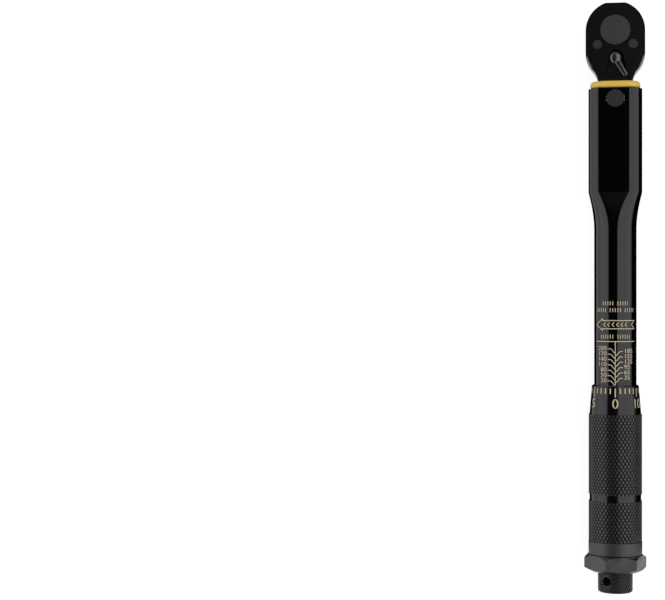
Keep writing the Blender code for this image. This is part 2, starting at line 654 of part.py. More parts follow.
def make_lever():
    """Dome, arm and stem in one, with the spring plunger across the stem and a clip at its end."""
    stem = LEVER_STEM / 2
    base = Z_RECESS + RUN
    dome = [
        (LEVER_DOME / 2 * math.sin(angle), base + LEVER_DOME_HEIGHT * math.cos(angle))
        for angle in (math.pi / 2 * i / ARC_STEPS for i in range(ARC_STEPS + 1))
    ]
    groove = [
        (stem, base),
        (stem, Z_CLIP_TOP + FIT / 2),
        (stem - CLIP_GROOVE, Z_CLIP_TOP + FIT / 2),
        (stem - CLIP_GROOVE, Z_CLIP_TOP - CLIP_THICKNESS - FIT / 2),
        (stem, Z_CLIP_TOP - CLIP_THICKNESS - FIT / 2),
        (stem, Z_STEM_END),
        (0.0, Z_STEM_END),
    ]
    profile = [(radius, height - Z_RECESS) for radius, height in dome + groove]
    piece = turned("reverse_lever", profile, SMALL_SIDES, (0.0, LEVER_Y, Z_RECESS))
    side = [(LEVER_ARM_WIDTH / 2, 0.0), (LEVER_TIP_WIDTH / 2, -LEVER_LENGTH)]
    arm = prism("join_arm", [mirrored(side)], RUN, RUN + LEVER_ARM_HEIGHT)
    edges = arm.modifiers.new("Edges", "BEVEL")
    edges.limit_method = "ANGLE"
    edges.width = LEVER_ARM_BEVEL
    edges.segments = 1
    turn = (0.0, 0.0, LEVER_REST)
    arm.location += Vector((0.0, LEVER_Y, Z_RECESS))
    arm.rotation_euler = turn
    shape(piece, arm, "UNION")
    # The plunger's bore runs from the side of the stem that faces away from the arm
    middle = (Z_PAWL_TOP + Z_PAWL_BOTTOM) / 2
    along = (-math.pi / 2, 0.0, LEVER_REST)
    bore_end = stem - LEVER_BORE_DEPTH
    hole = turned(
        "cut_lever_bore",
        rod_profile(LEVER_PLUNGER / 2 + RUN / 2, stem + OVERCUT, bore_end),
        TINY_SIDES,
        (0.0, LEVER_Y, middle),
    )
    hole.rotation_euler = along
    shape(piece, hole)
    add_piece(piece, "grey_steel", lever, turn)
    rear = LEVER_PLUNGER_REACH - LEVER_PLUNGER_LENGTH
    nose = [
        polar(LEVER_PLUNGER / 2, math.pi / 2 * (1 - i / ARC_STEPS)) for i in range(ARC_STEPS + 1)
    ]
    tip = LEVER_PLUNGER_REACH - LEVER_PLUNGER / 2
    pin = [(radius, tip + height) for radius, height in nose] + [(LEVER_PLUNGER / 2, rear), (0.0, rear)]
    plunger = turned("lever_plunger", pin, TINY_SIDES, (0.0, LEVER_Y, middle))
    add_piece(plunger, "bright_steel", body_at("lever_plunger_axis", (0.0, LEVER_Y, middle), lever), along)
    length = rear - FIT / 2 - bore_end - FIT / 2
    mean = (LEVER_PLUNGER - LEVER_WIRE) / 2
    foot = (bore_end + FIT / 2) * Vector((-math.sin(LEVER_REST), math.cos(LEVER_REST), 0.0))
    foot += Vector((0.0, LEVER_Y, middle))
    spring = coil("lever_spring", mean, LEVER_WIRE, length, LEVER_SPRING_TURNS, foot)
    add_piece(spring, "spring_steel", lever, along)
    ring = ring_profile(
        CLIP_DIAMETER / 2, stem - CLIP_GROOVE + FIT / 2, Z_CLIP_TOP, Z_CLIP_TOP - CLIP_THICKNESS
    )
    clip = turned("lever_clip", ring, SMALL_SIDES, (0.0, LEVER_Y, 0.0))
    half = CLIP_OPENING / 2
    opening = [(-half, 0.0), (half, 0.0), (half, CLIP_DIAMETER), (-half, CLIP_DIAMETER)]
    gap = prism("cut_clip", [opening], Z_STEM_END, Z_PAWL_BOTTOM)
    gap.location.y = LEVER_Y
    shape(clip, gap)
    add_piece(clip, "spring_steel", lever)


def make_pawl():
    """Two toothed arms about the lever's stem, with a window for the plunger's nose."""
    front = GEAR_TIP_RADIUS + PAWL_FRONT_GAP
    hub = PAWL_HUB / 2
    side = [gear_point(front, share * PAWL_FIRST_TOOTH / ARC_STEPS) for share in range(ARC_STEPS - 1)]
    engaged = [gear_point(GEAR_TIP_RADIUS + PAWL_MESH_GAP, PAWL_FIRST_TOOTH - HALF_PITCH)]
    for tooth in range(PAWL_TEETH):
        place = PAWL_FIRST_TOOTH + tooth
        engaged.append(gear_point(GEAR_ROOT_RADIUS + PAWL_MESH_GAP, place))
        engaged.append(gear_point(GEAR_TIP_RADIUS + PAWL_MESH_GAP, place + HALF_PITCH))
    flank = GEAR_TIP_RADIUS - TOOTH_HEIGHT / 2 + PAWL_MESH_GAP
    engaged[-1] = gear_point(flank, PAWL_END_TOOTH + PAWL_PAST_TOOTH)
    engaged.append(PAWL_TIP)
    side += [about_lever(point, -PAWL_ROCK) for point in engaged]
    side += arc((0.0, LEVER_Y), hub, 0.0, -math.pi / 2)
    bore = arc((0.0, LEVER_Y), LEVER_STEM / 2 + RUN, math.pi / 2 - PAWL_WINDOW, -math.pi / 2)
    window = arc((0.0, LEVER_Y), LEVER_PLUNGER_REACH + RUN, math.pi / 2, math.pi / 2 - PAWL_WINDOW)
    outline = mirrored(side)
    keyhole = mirrored(window + bore)
    turned_over = [
        [about_lever(point, -PAWL_ROCK) for point in loop] for loop in (outline, keyhole)
    ]
    pawl = prism("ratchet_pawl", turned_over, Z_PAWL_BOTTOM, Z_PAWL_TOP)
    add_piece(pawl, "dark_steel", pawl_body)


def tube_section(half_width, rise, y):
    """Points round a flattened circle that turns into a circle where both half sizes are equal."""
    points = []
    for k in range(ROUND_SIDES):
        angle = 2 * math.pi * (k + 0.5) / ROUND_SIDES
        shift = math.copysign(half_width - rise, math.cos(angle))
        points.append((shift + rise * math.cos(angle), y, rise * math.sin(angle)))
    return points


def tube_loft(name, stations):
    """A closed solid lofted through sections that end where they began."""
    loft = bmesh.new()
    rings = [[loft.verts.new(point) for point in section] for section in stations]
    for near, far in zip(rings, rings[1:] + rings[:1]):
        for k in range(ROUND_SIDES):
            after = (k + 1) % ROUND_SIDES
            loft.faces.new((near[k], near[after], far[after], far[k]))
    bmesh.ops.recalc_face_normals(loft, faces=loft.faces)
    mesh = bpy.data.meshes.new(name)
    loft.to_mesh(mesh)
    loft.free()
    mesh.shade_smooth()
    piece = bpy.data.objects.new(name, mesh)
    piece.location = AXIS
    return piece


def make_tube():
    """Steel tube, round at the back, flattened at the front, with its pivot pin."""
    stations = [(TUBE_FRONT, 0.0)]
    for step in range(FLARE_STEPS + 1):
        share = step / FLARE_STEPS
        eased = share ** FLARE_SKEW
        stations.append((FLAT_END - FLARE_LENGTH * share, eased * eased * (3 - 2 * eased)))
    stations.append((TUBE_REAR, 1.0))
    outer = []
    inner = []
    for y, roundness in stations:
        half_width = FLAT_HALF + (TUBE_RADIUS - FLAT_HALF) * roundness
        rise = FLAT_RISE + (TUBE_RADIUS - FLAT_RISE) * roundness
        outer.append(tube_section(half_width, rise, y))
        inner.append(tube_section(half_width - TUBE_WALL, rise - TUBE_WALL, y))
    tube = tube_loft("tube", outer + inner[::-1])
    high = Z_AXIS + FLAT_WIDTH
    low = Z_AXIS - FLAT_WIDTH
    hole = rod_profile(PIVOT_DIAMETER / 2 + FIT / 2, high, low)
    shape(tube, turned("cut_tube_pivot", hole, ROUND_SIDES, (0.0, PIVOT_Y, 0.0)))
    pin_y = TUBE_REAR + NUT_PIN_INSET
    hole = rod_profile(NUT_PIN / 2 + FIT, Z_AXIS - TUBE_BORE / 2, low)
    shape(tube, turned("cut_nut_pin", hole, SMALL_SIDES, (0.0, pin_y, 0.0)))
    add_piece(tube, "black_enamel")
    top = Z_AXIS + SECTION_RISE
    bottom = Z_AXIS - SECTION_RISE
    edge = PIVOT_DIAMETER / 2
    pin = [
        (0.0, top),
        (edge - PIVOT_CHAMFER, top),
        (edge, top - PIVOT_CHAMFER),
        (edge, bottom + PIVOT_CHAMFER),
        (edge - PIVOT_CHAMFER, bottom),
        (0.0, bottom),
    ]
    add_piece(turned("pivot_pin", pin, ROUND_SIDES, (0.0, PIVOT_Y, 0.0)), "dark_steel")


def make_collar():
    """Plastic collar round the neck, held by two tongues inside the tube's mouth."""
    rise = FLAT_RISE - COLLAR_STEP / 2
    hole_half = NECK_WIDTH / 2 + 2 * RUN
    hole_rise = TAIL_RISE + RUN
    rim = [(x, z) for x, y, z in tube_section(COLLAR_WIDTH / 2, rise, NECK_Y)]
    hole = mirrored([(hole_half, hole_rise), (hole_half, -hole_rise)])
    collar = prism("mouth_collar", [rim, hole], COLLAR_REAR, NECK_Y)
    collar.location = (0.0, (NECK_Y + COLLAR_REAR) / 2, Z_AXIS)
    collar.rotation_euler = UPRIGHT
    corner = BORE_RISE - math.sqrt(BORE_RISE ** 2 - (TONGUE_HEIGHT / 2) ** 2)
    tongue_out = FLAT_HALF - TUBE_WALL - corner - FIT
    for name, side in (("left", -1), ("right", 1)):
        inner = side * hole_half
        edge = side * tongue_out
        front = COLLAR_REAR + COLLAR_LENGTH / 2
        rear = COLLAR_REAR - TONGUE_LENGTH
        outline = [(inner, front), (edge, front), (edge, rear), (inner, rear)]
        low = Z_AXIS - TONGUE_HEIGHT / 2
        tongue = prism("join_tongue_" + name, [outline], low, low + TONGUE_HEIGHT)
        shape(collar, tongue, "UNION")
    add_piece(collar, "yellow_plastic")


def make_click():
    """Block that tips between the tail and the thrust plunger, and the plunger itself."""
    end = BLOCK_END / 2
    lean = math.asin(BLOCK_WAIST / BLOCK_END)
    side = arc((0.0, 0.0), end, math.pi / 2, lean - math.pi / 2)
    side += arc((0.0, -BLOCK_LENGTH), end, math.pi / 2 - lean, -math.pi / 2)
    block = prism("click_block", [mirrored(side)], -BLOCK_HEIGHT / 2, BLOCK_HEIGHT / 2)
    block.location = (0.0, TAIL_END, Z_AXIS)
    add_piece(block, "bright_steel", block_body)
    radius = TUBE_BORE - RUN
    stub = radius - SPRING_WIRE - 2 * RUN
    profile = [
        (0.0, PLUNGER_FRONT),
        (radius, PLUNGER_FRONT),
        (radius, PLUNGER_REAR),
        (stub, PLUNGER_REAR),
        (stub, PLUNGER_REAR - STUB_LENGTH),
        (0.0, PLUNGER_REAR - STUB_LENGTH),
    ]
    plunger = turned("thrust_plunger", profile, ROUND_SIDES, AXIS)
    rise = BLOCK_HEIGHT / 2 + RUN
    pocket = rod_profile(end + BLOCK_POCKET_GAP, rise, -rise)
    shape(plunger, turned("cut_plunger_pocket", pocket, SMALL_SIDES, (0.0, PLUNGER_FRONT, Z_AXIS)))
    add_piece(plunger, "grey_steel", plunger_body, ALONG_WRENCH)
    mean = radius - SPRING_WIRE / 2
    foot = (0.0, SPRING_REAR, Z_AXIS)
    spring = coil("main_spring", mean, SPRING_WIRE, SPRING_LENGTH, SPRING_TURNS, foot)
    add_piece(spring, "spring_steel", plunger_body, ALONG_WRENCH)


def make_setting():
    """Spring seat and thrust washer, pushed by the adjusting screw, and the nut that it turns in."""
    radius = TUBE_BORE - RUN
    stub = radius - SPRING_WIRE - 2 * RUN
    seat = [
        (0.0, SEAT_FRONT + STUB_LENGTH),
        (stub, SEAT_FRONT + STUB_LENGTH),
        (stub, SEAT_FRONT),
        (radius, SEAT_FRONT),
        (radius, SEAT_REAR),
        (0.0, SEAT_REAR),
    ]
    add_piece(turned("spring_seat", seat, ROUND_SIDES, AXIS), "grey_steel", seat_body, ALONG_WRENCH)
    washer = ring_profile(radius, WASHER_BORE / 2, WASHER_FRONT, WASHER_REAR)
    add_piece(turned("thrust_washer", washer, ROUND_SIDES, AXIS), "bright_steel", seat_body, ALONG_WRENCH)
    screw_radius = SCREW_DIAMETER / 2
    bore = SCREW_BORE / 2
    screw = [
        (0.0, SCREW_FRONT),
        (screw_radius - SCREW_CHAMFER, SCREW_FRONT),
        (screw_radius, SCREW_FRONT - SCREW_CHAMFER),
        (screw_radius, SHOULDER_FRONT),
        (SHOULDER_DIAMETER / 2, SHOULDER_FRONT),
        (SHOULDER_DIAMETER / 2, SHOULDER_REAR),
        (screw_radius, SHOULDER_REAR),
        (screw_radius, HEX_REAR + FIT),
        (bore, HEX_REAR + FIT),
        (bore, SCREW_FRONT - SCREW_NOSE),
        (0.0, SCREW_FRONT - SCREW_NOSE),
    ]
    piece = turned("adjusting_screw", screw, SMALL_SIDES, AXIS)
    add_piece(piece, "grey_steel", grip, ALONG_WRENCH)
    nut = turned(
        "adjuster_nut",
        ring_profile(TUBE_BORE - FIT, screw_radius + RUN, NUT_FRONT, NUT_REAR),
        ROUND_SIDES,
        AXIS,
    )
    pin_y = TUBE_REAR + NUT_PIN_INSET
    pin_foot = Z_AXIS - TUBE_RADIUS * math.cos(math.pi / ROUND_SIDES)
    pin_head = Z_AXIS - screw_radius - 2 * RUN
    hole = rod_profile(NUT_PIN / 2 + FIT, Z_AXIS, Z_AXIS - TUBE_DIAMETER)
    shape(nut, turned("cut_nut_hole", hole, SMALL_SIDES, (0.0, pin_y, 0.0)))
    add_piece(nut, "grey_steel", None, ALONG_WRENCH)
    pin = turned("nut_pin", rod_profile(NUT_PIN / 2, pin_head, pin_foot), SMALL_SIDES, (0.0, pin_y, 0.0))
    add_piece(pin, "bright_steel")


def make_grip():
    """Grip sleeve with its cone, knurled bands, groove and ring, closed by a web, and the end nut."""
    knurl = KNURL_DIAMETER / 2
    bore = TUBE_RADIUS + RUN
    eye = SCREW_DIAMETER / 2 + FIT
    profile = [
        (SLEEVE_FRONT_DIAMETER / 2 - CONE_NOSE, SLEEVE_FRONT),
        (SLEEVE_FRONT_DIAMETER / 2, SLEEVE_FRONT - CONE_NOSE),
        (CONE_DIAMETER / 2, CONE_END),
        (knurl, CONE_END - (knurl - CONE_DIAMETER / 2)),
        (knurl, GROOVE_FRONT),
        (GROOVE_DIAMETER / 2, GROOVE_FRONT - (knurl - GROOVE_DIAMETER / 2)),
        (GROOVE_DIAMETER / 2, GROOVE_REAR + (knurl - GROOVE_DIAMETER / 2)),
        (knurl, GROOVE_REAR),
        (knurl, RING_FRONT),
        (RING_DIAMETER / 2, RING_FRONT),
        (RING_DIAMETER / 2, SLEEVE_REAR + CONE_NOSE),
        (RING_DIAMETER / 2 - CONE_NOSE, SLEEVE_REAR),
        (eye, SLEEVE_REAR),
        (eye, WEB_FRONT),
        (bore, WEB_FRONT),
        (bore, SLEEVE_FRONT),
    ]
    add_piece(turned("grip_sleeve", profile, ROUND_SIDES, AXIS), "black_grip", grip, ALONG_WRENCH)
    corner = HEX_FLATS / math.sqrt(3)
    hexagon = [polar(corner, math.pi / 2 + HEX_TURN + math.pi / 3 * k) for k in range(6)]
    nut = prism("end_nut", [hexagon], HEX_REAR, HEX_FRONT)
    nut.location = (0.0, (HEX_FRONT + HEX_REAR) / 2, Z_AXIS)
    # A turned envelope takes the corners off both ends, and the nut's own bore takes the screw
    face = HEX_CHAMFER_DIAMETER / 2
    envelope = [
        (0.0, HEX_FRONT + OVERCUT),
        (face - OVERCUT, HEX_FRONT + OVERCUT),
        (face, HEX_FRONT),
        (corner + MERGE, HEX_FRONT - HEX_FRONT_CHAMFER),
        (corner + MERGE, HEX_REAR + HEX_REAR_CHAMFER),
        (face - (corner - face), HEX_REAR),
        (face - (corner - face) - OVERCUT, HEX_REAR - OVERCUT),
        (0.0, HEX_REAR - OVERCUT),
    ]
    tool = turned("keep_hex", envelope, ROUND_SIDES, AXIS)
    tool.rotation_euler = ALONG_WRENCH
    shape(nut, tool, "INTERSECT")
    hole = rod_profile(eye, HEX_FRONT + OVERCUT, HEX_REAR - OVERCUT)
    tool = turned("cut_hex_bore", hole, SMALL_SIDES, AXIS)
    tool.rotation_euler = ALONG_WRENCH
    shape(nut, tool)
    add_piece(nut, "grey_steel", grip, UPRIGHT)


def make_lock():
    """Knurled lock knob fixed to its rod by a set screw, and the wedge that the rod pushes."""
    point = WEDGE_POINT
    wide = SCREW_BORE / 2 - RUN
    wedge = [(0.0, WEDGE_FRONT), (wide - point, WEDGE_FRONT), (wide, WEDGE_FRONT - point)]
    wedge += [(wide, WEDGE_REAR), (0.0, WEDGE_REAR)]
    piece = turned("lock_wedge", wedge, SMALL_SIDES, AXIS)
    add_piece(piece, "bright_steel", wedge_body, ALONG_WRENCH)
    rod = turned("lock_rod", rod_profile(ROD_DIAMETER / 2, ROD_FRONT, ROD_REAR), SMALL_SIDES, AXIS)
    add_piece(rod, "grey_steel", knob_body, ALONG_WRENCH)
    radius = KNOB_DIAMETER / 2
    bore = ROD_DIAMETER / 2 + FIT
    crown = arc((radius - KNOB_ROUNDING, KNOB_REAR + KNOB_ROUNDING), KNOB_ROUNDING, 0.0, -math.pi / 2)
    edge = CONE_NOSE
    profile = [(bore, KNOB_FRONT), (radius - edge, KNOB_FRONT), (radius, KNOB_FRONT - edge)] + crown
    profile += [(0.0, KNOB_REAR), (0.0, KNOB_FRONT - KNOB_BORE_DEPTH), (bore, KNOB_FRONT - KNOB_BORE_DEPTH)]
    profile = profile[-2:] + profile[:-2]
    knob = turned("lock_knob", profile, ROUND_SIDES, AXIS)
    hole = rod_profile(SET_SCREW / 2 + FIT, radius + OVERCUT, 0.0)
    place = (0.0, SET_SCREW_Y, Z_AXIS)
    lean = (0.0, -SET_SCREW_TURN, 0.0)
    tool = turned("cut_set_screw", hole, SMALL_SIDES, place)
    tool.rotation_euler = lean
    shape(knob, tool)
    add_piece(knob, "black_grip", knob_body, ALONG_WRENCH)
    head_end = radius - SET_SCREW_DEPTH
    grub = turned(
        "knob_set_screw", rod_profile(SET_SCREW / 2, head_end, bore), SMALL_SIDES, place
    )
    corner = SOCKET_FLATS / math.sqrt(3)
    socket = [polar(corner, math.pi / 3 * k) for k in range(6)]
    tool = prism("cut_socket", [socket], head_end - SOCKET_DEPTH, head_end + OVERCUT)
    offset = Vector((-math.sin(SET_SCREW_TURN), 0.0, math.cos(SET_SCREW_TURN))) * tool.location.z
    tool.location = Vector(place) + offset
    tool.rotation_euler = lean
    shape(grub, tool)
    add_piece(grub, "dark_steel", knob_body, lean)


make_head()
make_cover()
make_drive()
make_lever()
make_pawl()
make_tube()
make_collar()
make_click()
make_setting()
make_grip()
make_lock()
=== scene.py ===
import math

import bmesh
import bpy
from mathutils import Matrix, Vector


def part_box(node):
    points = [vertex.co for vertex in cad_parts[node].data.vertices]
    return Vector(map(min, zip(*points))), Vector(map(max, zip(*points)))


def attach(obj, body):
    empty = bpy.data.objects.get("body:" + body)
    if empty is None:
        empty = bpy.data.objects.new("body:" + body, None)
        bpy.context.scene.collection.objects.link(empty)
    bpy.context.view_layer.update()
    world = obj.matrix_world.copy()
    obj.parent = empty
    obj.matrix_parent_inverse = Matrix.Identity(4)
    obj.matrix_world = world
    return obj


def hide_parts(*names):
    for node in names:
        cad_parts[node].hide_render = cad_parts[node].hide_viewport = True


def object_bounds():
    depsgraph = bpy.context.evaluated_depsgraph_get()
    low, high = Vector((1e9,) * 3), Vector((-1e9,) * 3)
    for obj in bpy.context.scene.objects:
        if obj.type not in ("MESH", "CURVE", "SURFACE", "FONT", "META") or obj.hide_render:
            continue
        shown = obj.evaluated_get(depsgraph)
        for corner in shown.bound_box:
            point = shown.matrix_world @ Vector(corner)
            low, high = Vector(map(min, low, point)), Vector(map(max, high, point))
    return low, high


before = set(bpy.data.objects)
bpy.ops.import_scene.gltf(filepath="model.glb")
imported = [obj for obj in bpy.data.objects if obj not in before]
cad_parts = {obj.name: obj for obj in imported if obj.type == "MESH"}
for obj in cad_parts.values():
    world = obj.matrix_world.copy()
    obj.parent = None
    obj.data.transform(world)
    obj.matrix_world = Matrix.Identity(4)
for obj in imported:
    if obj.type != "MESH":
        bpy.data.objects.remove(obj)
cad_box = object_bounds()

# Ratchet head
# A drop-forged steel box for the gear, with a neck and a long tail that runs back into the tube.
# Its face is ground flat, its sides keep the draft of the forging, and the whole is blackened.

MM = 0.001
WELD = 0.001 * MM
PAST = 1.0 * MM
PLAY = 0.3 * MM
SHARP = math.radians(28)
ARC_STEPS = 20
ROUND = 128
SMALL_ROUND = 48

head_low, head_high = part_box("ratchet_head")
gear_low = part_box("drive_gear")[0]
cover_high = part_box("cover_plate")[1]
pawl_low, pawl_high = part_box("ratchet_pawl")
pin_low, pin_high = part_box("pivot_pin")
collar_low, collar_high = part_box("mouth_collar")

AXIS_Z = (head_low.z + head_high.z) / 2
FACE_Z = head_high.z
BELLY_Z = head_low.z
PIVOT_Y = (pin_low.y + pin_high.y) / 2
pin_radius = (pin_high.x - pin_low.x) / 2
NECK_Y = collar_high.y
HEAD_HALF = head_high.x
HEAD_STRAIGHT = 10.5 * MM
FLANK = 12.6 * MM
FILLET = 11.4 * MM
NECK_HALF = 8.1 * MM
NECK_ANGLE = math.radians(12)
RIM = 0.8 * MM
RIM_BREAK = 1.0 * MM
RIM_BREAK_SHARE = 0.45
RIM_DEPTH = 2.6 * MM
TAIL_HALF = 7.5 * MM
TAIL_END_HALF = 5.0 * MM
TAIL_ROOT = 3.3 * MM
TAIL_RISE = 3.7 * MM
SHOULDER = 6.8 * MM
BELLY = 5.8 * MM
COVER_INSET = 1.5 * MM
COVER_FLANK = math.radians(36)
JOURNAL = 7.15 * MM
GEAR_TIP = 8.75 * MM
GEAR_ROOF = 2.5 * MM
LEVER_Y = -13.2 * MM
LEVER_STEM = 1.8 * MM
RECESS = 3.9 * MM
RECESS_MOUTH = 7.2 * MM
RECESS_DEPTH = 2.2 * MM
PAWL_ROOM = 9.4 * MM
RIVET_PLACES = (Vector((-8.4 * MM, -6.9 * MM, 0.0)), Vector((8.4 * MM, -6.9 * MM, 0.0)))
RIVET_HEAD = 2.25 * MM
RIVET_SHANK = 1.0 * MM
RIVET_DEPTH = 1.0 * MM
BLOCK_POCKET = 2.4 * MM


def linear(colour):
    """An sRGB hex colour as linear red, green, blue and alpha."""
    shares = [int(colour[i:i + 2], 16) / 255 for i in (1, 3, 5)]
    return (*[s / 12.92 if s <= 0.04045 else ((s + 0.055) / 1.055) ** 2.4 for s in shares], 1.0)


def add_node(tree, kind, inputs=None, **settings):
    """Adds a node with its settings, and sets each input to a value or links it from a socket."""
    node = tree.nodes.new(kind)
    for name, value in settings.items():
        setattr(node, name, value)
    for name, value in (inputs or {}).items():
        if isinstance(value, bpy.types.NodeSocket):
            tree.links.new(value, node.inputs[name])
        else:
            node.inputs[name].default_value = value
    return node


def new_finish(name, colour, roughness, metallic=0.0):
    """A material with its colour and gloss, and its tree, shader and object coordinates."""
    material = bpy.data.materials.new(name)
    material.use_nodes = True
    tree = material.node_tree
    shader = tree.nodes["Principled BSDF"]
    shader.inputs["Base Color"].default_value = linear(colour)
    shader.inputs["Roughness"].default_value = roughness
    shader.inputs["Metallic"].default_value = metallic
    return material, tree, shader, add_node(tree, "ShaderNodeTexCoord").outputs["Object"]


def mottle(tree, shader, pattern, colours, roughness, bump=0.0, height=0.1 * MM):
    """Lets a pattern vary a shader's colour between two, its roughness, and its surface."""
    ramp = add_node(tree, "ShaderNodeValToRGB", {"Fac": pattern})
    for stop, colour in zip(ramp.color_ramp.elements, colours):
        stop.color = linear(colour)
    tree.links.new(ramp.outputs["Color"], shader.inputs["Base Color"])
    gloss = add_node(
        tree, "ShaderNodeMapRange", {"Value": pattern, "To Min": roughness[0], "To Max": roughness[1]}
    )
    tree.links.new(gloss.outputs["Result"], shader.inputs["Roughness"])
    if bump:
        relief = add_node(
            tree, "ShaderNodeBump", {"Height": pattern, "Strength": bump, "Distance": height}
        )
        tree.links.new(relief.outputs["Normal"], shader.inputs["Normal"])


def grained(
    name, colours, roughness, grain, stretch=(1.0, 1.0, 1.0), detail=3.0, metallic=0.0, ior=None, **relief
):
    """A material whose colour, gloss and surface follow a fine noise, stretched where it is worked."""
    material, tree, shader, place = new_finish(name, colours[0], roughness[0], metallic)
    if ior:
        shader.inputs["IOR"].default_value = ior
    scaled = add_node(tree, "ShaderNodeMapping", {"Vector": place, "Scale": stretch}).outputs["Vector"]
    noise = add_node(tree, "ShaderNodeTexNoise", {"Vector": scaled, "Scale": 1 / grain, "Detail": detail})
    mottle(tree, shader, noise.outputs["Fac"], colours, roughness, **relief)
    return material


def mesh_from(name, form):
    """A welded mesh that faces outwards and is smooth except at its sharp edges."""
    bmesh.ops.remove_doubles(form, verts=form.verts, dist=WELD)
    bmesh.ops.recalc_face_normals(form, faces=form.faces)
    mesh = bpy.data.meshes.new(name)
    form.to_mesh(mesh)
    form.free()
    mesh.shade_smooth()
    mesh.set_sharp_from_angle(angle=SHARP)
    return mesh


def stacked(name, outlines):
    """A closed mesh through outlines of as many points each, capped at both ends."""
    form = bmesh.new()
    rings = [[form.verts.new(point) for point in outline] for outline in outlines]
    for near, far in zip(rings, rings[1:]):
        for k in range(len(near)):
            after = (k + 1) % len(near)
            form.faces.new((near[k], near[after], far[after], far[k]))
    form.faces.new(rings[0])
    form.faces.new(rings[-1])
    return mesh_from(name, form)


def prism(name, outline, low, high):
    """A flat outline as a solid between two heights."""
    return stacked(name, [[(x, y, z) for x, y in outline] for z in (low, high)])


def turned(name, profile, place=Matrix(), sides=ROUND):
    """A turned mesh from (radius, height) points, closed on its axis or back to its first point."""
    form = bmesh.new()
    rings = []
    for radius, height in profile:
        count = sides if radius > WELD else 1
        angles = [2 * math.pi * k / sides for k in range(count)]
        rings.append([form.verts.new((radius * math.cos(a), radius * math.sin(a), height)) for a in angles])
    pairs = list(zip(rings, rings[1:]))
    if profile[0][0] > WELD:
        pairs.append((rings[-1], rings[0]))
    for near, far in pairs:
        for k in range(sides if len(near) + len(far) > 2 else 0):
            corners = [ring[(k + i) % len(ring)] for ring, i in ((near, 0), (near, 1), (far, 1), (far, 0))]
            form.faces.new(list(dict.fromkeys(corners)))
    bmesh.ops.transform(form, matrix=place, verts=form.verts)
    return mesh_from(name, form)


def rod(name, radius, low, high, place=Matrix(), sides=ROUND):
    """A plain cylinder between two heights, for cutting and joining."""
    return turned(name, [(0.0, high), (radius, high), (radius, low), (0.0, low)], place, sides)


def shaped(mesh, tools, operation="DIFFERENCE"):
    """A mesh with tools cut from it, joined to it, or kept only where they meet it."""
    solids = [bpy.data.objects.new(m.name, m) for m in [mesh, *tools]]
    for solid in solids:
        bpy.context.scene.collection.objects.link(solid)
    for tool in solids[1:]:
        step = solids[0].modifiers.new(tool.name, "BOOLEAN")
        step.operation = operation
        step.solver = "EXACT"
        step.object = tool
    graph = bpy.context.evaluated_depsgraph_get()
    result = bpy.data.meshes.new_from_object(solids[0].evaluated_get(graph))
    for solid in solids:
        bpy.data.objects.remove(solid)
    result.shade_smooth()
    result.set_sharp_from_angle(angle=SHARP)
    return result


def add_piece(name, mesh, finish, body, slot, *nodes):
    """Puts a finished mesh in the scene, riding on its body and standing for its nodes."""
    piece = bpy.data.objects.new(name, mesh)
    bpy.context.scene.collection.objects.link(piece)
    mesh.materials.clear()
    mesh.materials.append(finish)
    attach(piece, body)
    if nodes:
        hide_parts(*nodes)
    return piece


def arc(centre, radius, start, end, steps=ARC_STEPS):
    """Points along an arc, with both ends."""
    angles = [start + (end - start) * i / steps for i in range(steps + 1)]
    return [(centre[0] + radius * math.cos(a), centre[1] + radius * math.sin(a)) for a in angles]


def mirrored(side):
    """A closed outline from its right side, listed from front to back."""
    return side + [(-x, y) for x, y in reversed(side) if abs(x) > WELD]


def head_side(inset, flank_end):
    """Right side of the head from its nose to an angle on its flank, set in from its edge."""
    radius = HEAD_HALF - inset
    nose = arc((0.0, 0.0), radius, math.asin((head_high.y - inset) / radius), 0.0)
    return nose + arc((HEAD_HALF - FLANK, -HEAD_STRAIGHT), FLANK - inset, 0.0, -flank_end)


FLANK_END = math.acos(
    (FLANK + FILLET * math.cos(NECK_ANGLE) - HEAD_HALF + NECK_HALF) / (FLANK + FILLET)
)


def head_outline(inset):
    """Whole outline of head, neck and tail, set in from its edge."""
    reach = FLANK + FILLET
    centre = (HEAD_HALF - FLANK + reach * math.cos(FLANK_END), -HEAD_STRAIGHT - reach * math.sin(FLANK_END))
    fillet = arc(centre, FILLET + inset, math.pi - FLANK_END, math.pi - NECK_ANGLE)
    tail = [
        (TAIL_HALF - inset, NECK_Y - TAIL_ROOT),
        (TAIL_HALF - inset, PIVOT_Y - 2 * pin_radius),
        (TAIL_END_HALF - inset, head_low.y),
    ]
    return mirrored(head_side(inset, FLANK_END) + fillet[1:] + tail)


above = FACE_Z + PAST
below = BELLY_Z - PAST
rim_levels = [(0.0, RIM), (RIM_BREAK, RIM * RIM_BREAK_SHARE), (RIM_DEPTH, 0.0)]
levels = [(BELLY_Z + drop, inset) for drop, inset in rim_levels]
levels += [(FACE_Z - drop, inset) for drop, inset in reversed(rim_levels)]
forging = stacked("forging", [[(x, y, z) for x, y in head_outline(inset)] for z, inset in levels])
slopes = {
    "shoulder": [
        (NECK_Y + SHOULDER, FACE_Z),
        (NECK_Y + SHOULDER, above),
        (head_low.y - PAST, above),
        (head_low.y - PAST, AXIS_Z + TAIL_RISE),
        (NECK_Y, AXIS_Z + TAIL_RISE),
    ],
    "belly": [
        (NECK_Y + BELLY, BELLY_Z),
        (NECK_Y, AXIS_Z - TAIL_RISE),
        (head_low.y - PAST, AXIS_Z - TAIL_RISE),
        (head_low.y - PAST, below),
        (NECK_Y + BELLY, below),
    ],
}
head_cuts = [
    stacked(name, [[(x, y, z) for y, z in outline] for x in (-2 * HEAD_HALF, 2 * HEAD_HALF)])
    for name, outline in slopes.items()
]
